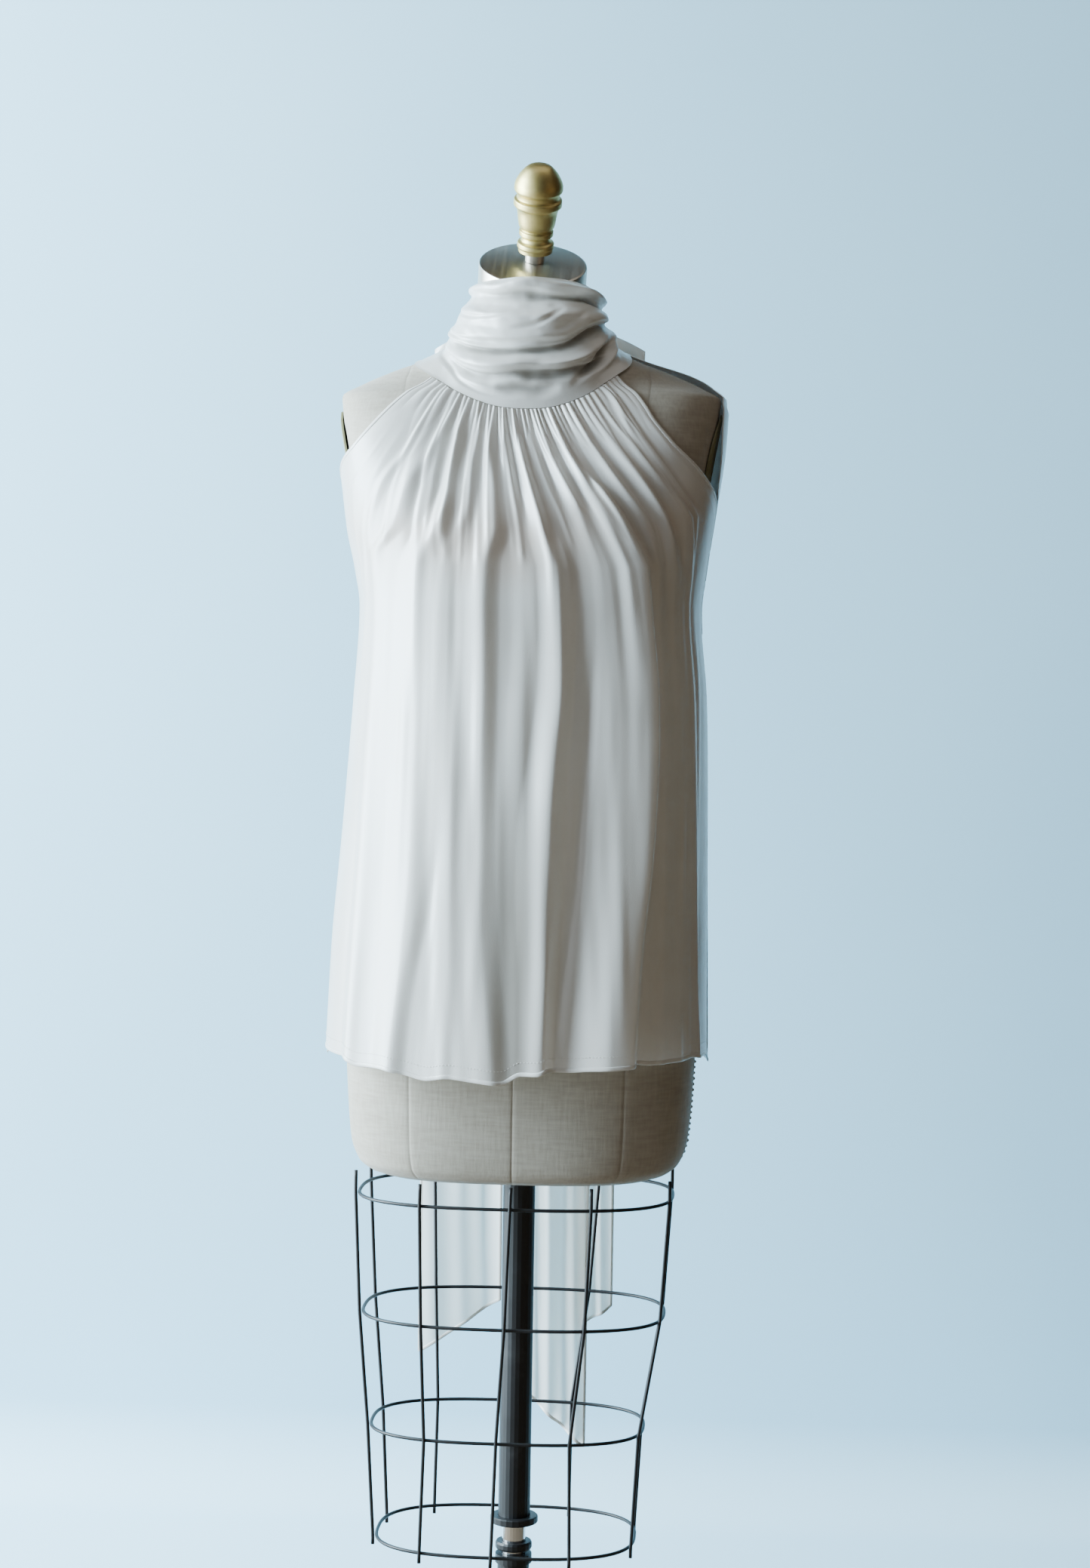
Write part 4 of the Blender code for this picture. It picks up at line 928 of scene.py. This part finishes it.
def buildTorso():
    edges = np.empty((len(formRows), 9))
    edges[:, ::2] = (0, 90, 180, 270, 360)
    for k in (1, 2, 3, 4):
        edges[:, 2 * k - 1] = lookUp(turningSeams, formRows, k)
    local = np.linspace(-1, 1, form.between)
    local = 0.5 + 0.5 * np.sign(local) * (1 - (1 - np.abs(local)) ** 2.2)
    columns = [lerp(edges[:, k], edges[:, k + 1], share) for k in range(8) for share in local[:-1]]
    angle = np.radians(np.stack(columns, 1))
    z = np.broadcast_to(formRows[:, None], angle.shape)
    reach = torsoReach(angle, z)
    away = np.min([np.abs(wrap(angle - np.radians(edges[:, k:k + 1]))) for k in range(8)], axis=0) * reach
    seam = bump(away, form.seamWidth)
    points = polar(angle, reach - form.seamDepth * seam, z)
    head = headPlace((0, 0, -form.capHeight - seamGap))
    rim = polar(angle[-1], form.neckRadius, 0.0)
    high = np.array([tuple(head @ Vector(point)) for point in rim])
    neck = [lerp(points[-1], high, share) for share in np.linspace(0, 1, form.neckRows)[1:]]
    points = np.concatenate((points, np.array(neck)))
    seam = np.concatenate((seam, np.zeros((len(neck), seam.shape[1]))))
    piece = gridPiece("form_body", points, linen, ["torso"], {"seam": seam}, closed=True, flip=True)
    middle = np.array((0, 0, torsoBottomZ))
    floor = [lerp(middle, points[0], share) for share in (1.0, *form.underShares)]
    count = points.shape[1]
    faces = gridFaces(3, count, True)[:, ::-1].tolist() + [list(range(2 * count, 3 * count))]
    makePiece("form_underside", np.concatenate(floor).tolist(), faces, linen)
    z = np.linspace(*form.lacingZ, form.lacingRows)
    for name, side in (("right", math.pi / 2), ("left", -math.pi / 2)):
        line = polar(side, torsoReach(np.full(len(z), side), z) - form.lacingSink, z)
        outward = np.tile((math.sin(side), 0.0, 0.0), (len(z), 1))
        stitchRow("form_lacing_" + name, line, outward, linen, lacing)


buildTorso()
print("form made")

# Cage under the form. A level is: height, half width, half depth, place to the side
cage = Sizes(
    levels=np.array((
        (0.2645, 0.129, 0.0895, -0.0080), (0.3756, 0.136, 0.0860, -0.0080), (0.490, 0.150, 0.098, -0.0034),
        (0.6085, 0.156, 0.104, -0.0026),
    )),
    power=2.8, radius=0.00175, top=0.6305, end=0.009, columns=144, wireRows=60,
)
cageWires = (  # name, angle at the top and the bottom
    ("front_left", -41, -43), ("front", 1, -5), ("front_right", 38, 38), ("right_front", 73, 71),
    ("right_rear", 106, 108), ("rear_right", 142, 147), ("rear_left", 223, 224), ("left_rear", 252, 250),
    ("left_front", 281, 282),
)


def onCage(angle, z, out=0.0):
    half, depth, aside = (np.interp(z, cage.levels[:, 0], cage.levels[:, k]) for k in (1, 2, 3))
    points = polar(angle, superReach(angle, half, half, depth, depth, cage.power) + out, z)
    points[..., 0] += aside
    return points


def cageTube(name, path, normals, node, closed=False):
    tubePiece(name, path, normals, roundSection(cage.radius), black, [node], closed)


def buildCage():
    for k, level in enumerate(cage.levels[::-1]):
        path = onCage(turns(cage.columns), level[0])
        upward = np.tile((0.0, 0.0, 1.0), (len(path), 1))
        cageTube("cage_hoop_%d" % (k + 1), path, upward, "cage_ring_%d" % (k + 1), closed=True)
    outside = 2 * cage.radius + seamGap
    for name, top, bottom in cageWires:
        z = np.linspace(cage.top, cage.levels[0, 0] - cage.end, cage.wireRows)
        angle = np.radians(lerp(top, bottom, (z[0] - z) / (z[0] - z[-1])))
        path = onCage(angle, z, outside)
        cageTube("cage_rod_" + name, path, path * (1, 1, 0), "cage_wire_" + name)


buildCage()
print("cage made")

# Finial, its stub and the neck cap as radius and height, and the stand's materials

finialProfile = (
    (0.0168, 0.0107), (0.0171, 0.0143), (0.0182, 0.0159), (0.0182, 0.0192), (0.0146, 0.0222), (0.0141, 0.0254),
    (0.0169, 0.0282), (0.0169, 0.0319), (0.0154, 0.0338), (0.0176, 0.0370), (0.0207, 0.0555), (0.0237, 0.0587),
    (0.0237, 0.0638), (0.0207, 0.0661), (0.0211, 0.0698), (0.0239, 0.0745), (0.0237, 0.0786), (0.0205, 0.0865),
    (0.0156, 0.0934), (0.0107, 0.0976), (0.0060, 0.0993),
)
stubProfile = ((0.0095, 0.0), (0.0095, 0.0104))
capProfile = ((0.0535, -0.028), (0.0535, -0.0030), (0.0530, -0.0010), (0.0520, -0.0003), (0.0505, 0.0))
onCap = headPlace((0.001, 0.006, seamGap))
turnedPiece("finial_knob", finialProfile, brass, "finial", onCap, steps=4, sharp=60)
turnedPiece("finial_neck", stubProfile, steel, "finial_stub", onCap)
turnedPiece("neck_plate", capProfile, steel, "neck_cap", headPlace(), sides=96, sharp=35)
solidLooks = dict(
    arm_plate_left=olive, arm_plate_right=olive, base=iron, lower_column=black, inner_tube=chrome,
    stop_ring=black, pole_sleeve=black, pole_collar=black,
)
for name, look in solidLooks.items():
    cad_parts[name].material_slots[0].material = look

# Bow and hanging ends at the back of the neck

knot = Sizes(
    centre=(0.0, 0.0953, 1.458), width=0.020, depth=0.014, height=0.024, rows=48, columns=72, limit=1.34,
    reach=1.344, pleats=((0.09, 7, 2.2, 2), (0.05, 13, -1.0, 0)),
)
loop = Sizes(
    length=0.088, root=0.026, width=0.058, depth=0.011, lean=0.012, droop=0.030, rows=40, columns=160,
    wall=0.0008, pinch=0.35, pleat=0.0022, crease=0.0012, flat=(0.062, 0.19),
)
# Waves of a tail: all along, crossing them, and on the free part below the hem
tail = Sizes(
    top=1.4337, spread=0.42, hang=0.176, hangZ=1.1, hangSpan=0.3, rows=260, columns=60,
    foldDepths=(0.004, 0.0145), clear=0.0016, off=0.0008, cutShare=6, settle=0.25, settled=0.3, wave=0.0035,
    cross=0.0020, free=0.0048, freeSpan=0.12, uneven=0.0022, hemWidth=0.02, hemLength=0.05,
)
tailEnds = (  # name, middles, widths, stands, lowest left and right, waves across, phase
    ("left", (-0.016, -0.0745), (0.026, 0.086), (0.006, 0.006), (0.400, 0.460), 1.6, 0.6),
    ("right", (0.012, 0.031), (0.022, 0.058), (0.006, 0.006), (0.357, 0.303), 1.2, 2.2),
    ("fold", (0.020, 0.064), (0.018, 0.044), (0.0096, 0.016), (0.425, 0.452), 1.0, 0.2),
)


def rearDepth(x, z):
    # How far behind the middle a tail has to lie at a place, to clear the back panel and its folds
    low, high = np.full(x.shape, math.pi / 2), np.full(x.shape, math.pi)
    for _ in range(30):
        middle = (low + high) / 2
        wide = clothReach(middle, z) * np.sin(middle) > np.abs(x)
        low, high = np.where(wide, middle, low), np.where(wide, high, middle)
    depth = lerp(*tail.foldDepths, smooth((bustZ + 0.1 - z) / 0.4))
    return -clothReach(high, z) * np.cos(high) + depth + tail.clear


def tailWave(across, z, waves, phase):
    # Soft waves of a hanging tail, across its width and down it
    level = z[:, None]
    settle = np.clip(tail.settled + (z[0] - level) / tail.settle, 0, 1)
    free = smooth((hemZ - level) / tail.freeSpan)
    wave = tail.wave * np.sin(2 * math.pi * waves * across + phase) * settle
    wave = wave + tail.cross * np.sin(2 * math.pi * (1.4 * across + phase) + 9 * level) * settle
    wave = wave - tail.free * free * np.sin(2 * math.pi * (2.1 * across + phase) + 5 * level)
    places = np.broadcast_arrays(across, np.linspace(0, 1, len(z))[:, None])
    return wave + tail.uneven * speckle(*places, 3, 9) * settle


def buildTails():
    for name, middles, widths, stands, ends, waves, phase in tailEnds:
        z = np.linspace(tail.top, max(ends), tail.rows)
        share = smooth((tail.top - z) / tail.spread)
        middle, width, stand = (lerp(*pair, share) for pair in (middles, widths, stands))
        sides = [rearDepth(middle + side * width / 2, np.maximum(z, hemZ)) for side in (-1, 0, 1)]
        body = np.max(sides, axis=0)
        hang = lerp(body, tail.hang, smooth((tail.hangZ - z) / tail.hangSpan))
        behind = np.maximum(body, hang) + stand
        across = np.linspace(0, 1, tail.columns)
        low = np.clip((z[0] - z) / (z[0] - z[-1]) * tail.cutShare - tail.cutShare + 1, 0, 1)
        drop = z[:, None] + (lerp(*ends, across) - max(ends)) * low[:, None]
        x = middle[:, None] + width[:, None] * (across - 0.5)
        y = behind[:, None] + tailWave(across, z, waves, phase) + tail.off
        points = np.stack(np.broadcast_arrays(x, y, drop), -1)
        piece = silkSheet("tie_end_" + name, points, sheerSilk, "tie_tail_" + name, flip=True)
        edge = np.concatenate((points[:-1, 0], points[-1], points[-2::-1, -1]))
        rearward = np.tile((0.0, 1.0, 0.0), (len(edge), 1))
        rim = silkEdge("tie_hem_" + name, edge, rearward, tieEdge)


def buildKnot():
    upward = np.linspace(-knot.limit, knot.limit, knot.rows)
    around, turn = np.meshgrid(turns(knot.columns), upward)
    pleat = 1.0
    for size, count, slant, power in knot.pleats:
        pleat = pleat + size * np.sin(count * around + slant * turn) * np.cos(turn) ** power
    x = knot.width * np.cos(turn) * np.cos(around) * pleat
    y = knot.depth * np.cos(turn) * np.sin(around) * pleat
    z = knot.height * np.sin(turn) / math.sin(knot.reach)
    points = np.stack((x, y, z), -1) + np.array(knot.centre)
    silkSheet("scarf_knot", points, silk, "bow_knot", closed=True, flip=True)


def buildLoop(name, side):
    # A flat loop, out along its front layer and back along its rear one
    turn, share = np.meshgrid(turns(loop.columns), np.linspace(0, 1, loop.rows))
    out, layer = 0.5 - 0.5 * np.cos(turn), np.sign(np.sin(turn))
    width = lerp(loop.root, loop.width, smooth(out * 1.6))
    pleats = loop.pleat * np.sin(2 * math.pi * 2.5 * share + 1.3 * side) * (1 - 0.6 * out)
    pleats = pleats + loop.crease * np.sin(2 * math.pi * (1.5 * share + 2 * out))
    bulge = (loop.depth * np.sin(turn) - loop.wall * layer) * lerp(loop.pinch, 1, out)
    x = knot.width + seamGap + loop.length * out
    y = knot.centre[1] + loop.lean * out + bulge + pleats * layer
    z = knot.centre[2] - loop.droop * out ** 1.5 + width * (share - 0.5)
    points = np.stack((side * x, y, z), -1)
    piece = silkSheet("scarf_loop_" + name, points, silk, "bow_loop_" + name, closed=True, flip=side > 0)


buildTails()
buildKnot()
buildLoop("left", -1)
buildLoop("right", 1)
print("bow made")

# Room and light: a one-sided paper sweep, which doesn't block views from behind, on a studio floor

room = Sizes(
    depth=1.02, radius=0.12, start=0.3, high=2.4, halfWidth=1.05, paperZ=-0.001, floor=6.0, floorZ=-0.004,
)


def roomLook(name, low, high, floor):
    # Painted light: up to a hand's width above the ground the colour is a lighter floor colour, which fades
    # into the wall's
    look = Look(name, Roughness=0.95, Specular_IOR_Level=0.1)
    upright = look.node("ShaderNodeSeparateXYZ", "Z", {0: look.space}).ramp(0.0, 0.12)
    look.put("Base Color", look.mix(upright, floor, look.mix(look.noise(1.1, 3).ramp(0.3, 0.7), low, high)))
    look.put("Alpha", 1 - look.node("ShaderNodeNewGeometry", "Backfacing"))
    return look.material


def stageSheet(name, curve, halfWidth, look, z):
    points = [(side * halfWidth, y, z) for y, z in curve for side in (-1, 1)]
    faces = [(2 * k, 2 * k + 1, 2 * k + 3, 2 * k + 2) for k in range(len(curve) - 1)]
    mesh = bpy.data.meshes.new(name)
    mesh.from_pydata(points, [], faces)
    mesh.shade_smooth()
    mesh.materials.append(look)
    sheet = bpy.data.objects.new(name, mesh)
    sheet.location.z = z
    link(sheet)


def buildRoom():
    depth, radius = room.depth, room.radius
    bend = [(depth - radius + radius * math.sin(a), radius - radius * math.cos(a))
            for a in np.linspace(0.15, math.pi / 2, 10)]
    curve = [(room.start, 0.0), (depth - radius, 0.0)] + bend + [(depth, room.high)]
    # The paper's floor colour is lighter than its wall colours, as painted light
    paper = roomLook("paper", (0.36, 0.60, 0.73), (0.40, 0.65, 0.78), (0.56, 0.82, 0.94))
    stageSheet("paperSweep", curve, room.halfWidth, paper, room.paperZ)
    boards = roomLook("boards", (0.16, 0.11, 0.075), (0.19, 0.13, 0.09), (0.17, 0.12, 0.08))
    ground = [(-room.floor, 0.0), (room.floor, 0.0)]
    stageSheet("studioFloor", ground, room.floor, boards, room.floorZ)


lights = (  # name, place, target, size, watts, colour
    ("window", (-2.8, -0.40, 1.5), (0, 0, 1.1), (2.1, 2.6), 580, (0.66, 0.86, 1.0)),
    ("doorway", (-1.6, -2.4, 1.2), (0, 0, 1.0), (1.4, 2.2), 14, (0.76, 0.88, 1.0)),
    ("backGlow", (-2.2, 0.75, 0.8), (0.1, 0.1, 0.8), (0.5, 1.4), 30, (0.80, 0.92, 1.0)),
    ("wallWash", (-2.0, -0.1, 1.9), (-0.3, 1.0, 0.9), (1.5, 2.2), 95, (0.74, 0.92, 1.0)),
    ("ceiling", (0.3, -0.5, 3.2), (0.1, 0.0, 1.0), (2.4, 1.8), 9, (1.0, 0.95, 0.87)),
    ("fill", (2.8, -1.6, 1.2), (0, 0, 1.0), (2.0, 2.0), 4, (1.0, 0.74, 0.48)),
)
air = dict(Color=(1.0, 0.86, 0.70, 1.0), Strength=0.03)


def addLight(name, place, target, size, energy, colour):
    light = bpy.data.lights.new(name, "AREA")
    light.shape = "RECTANGLE"
    light.size, light.size_y = size
    light.energy = energy
    light.color = colour
    lamp = bpy.data.objects.new(name, light)
    lamp.location = place
    lamp.visible_camera = False
    lamp.rotation_euler = (Vector(target) - Vector(place)).to_track_quat("-Z", "Y").to_euler()
    link(lamp)


def fillAir():
    world = bpy.data.worlds.new("studioAir")
    world.use_nodes = True
    for key, value in air.items():
        world.node_tree.nodes["Background"].inputs[key].default_value = value
    bpy.context.scene.world = world


buildRoom()
for light in lights:
    addLight(*light)
fillAir()
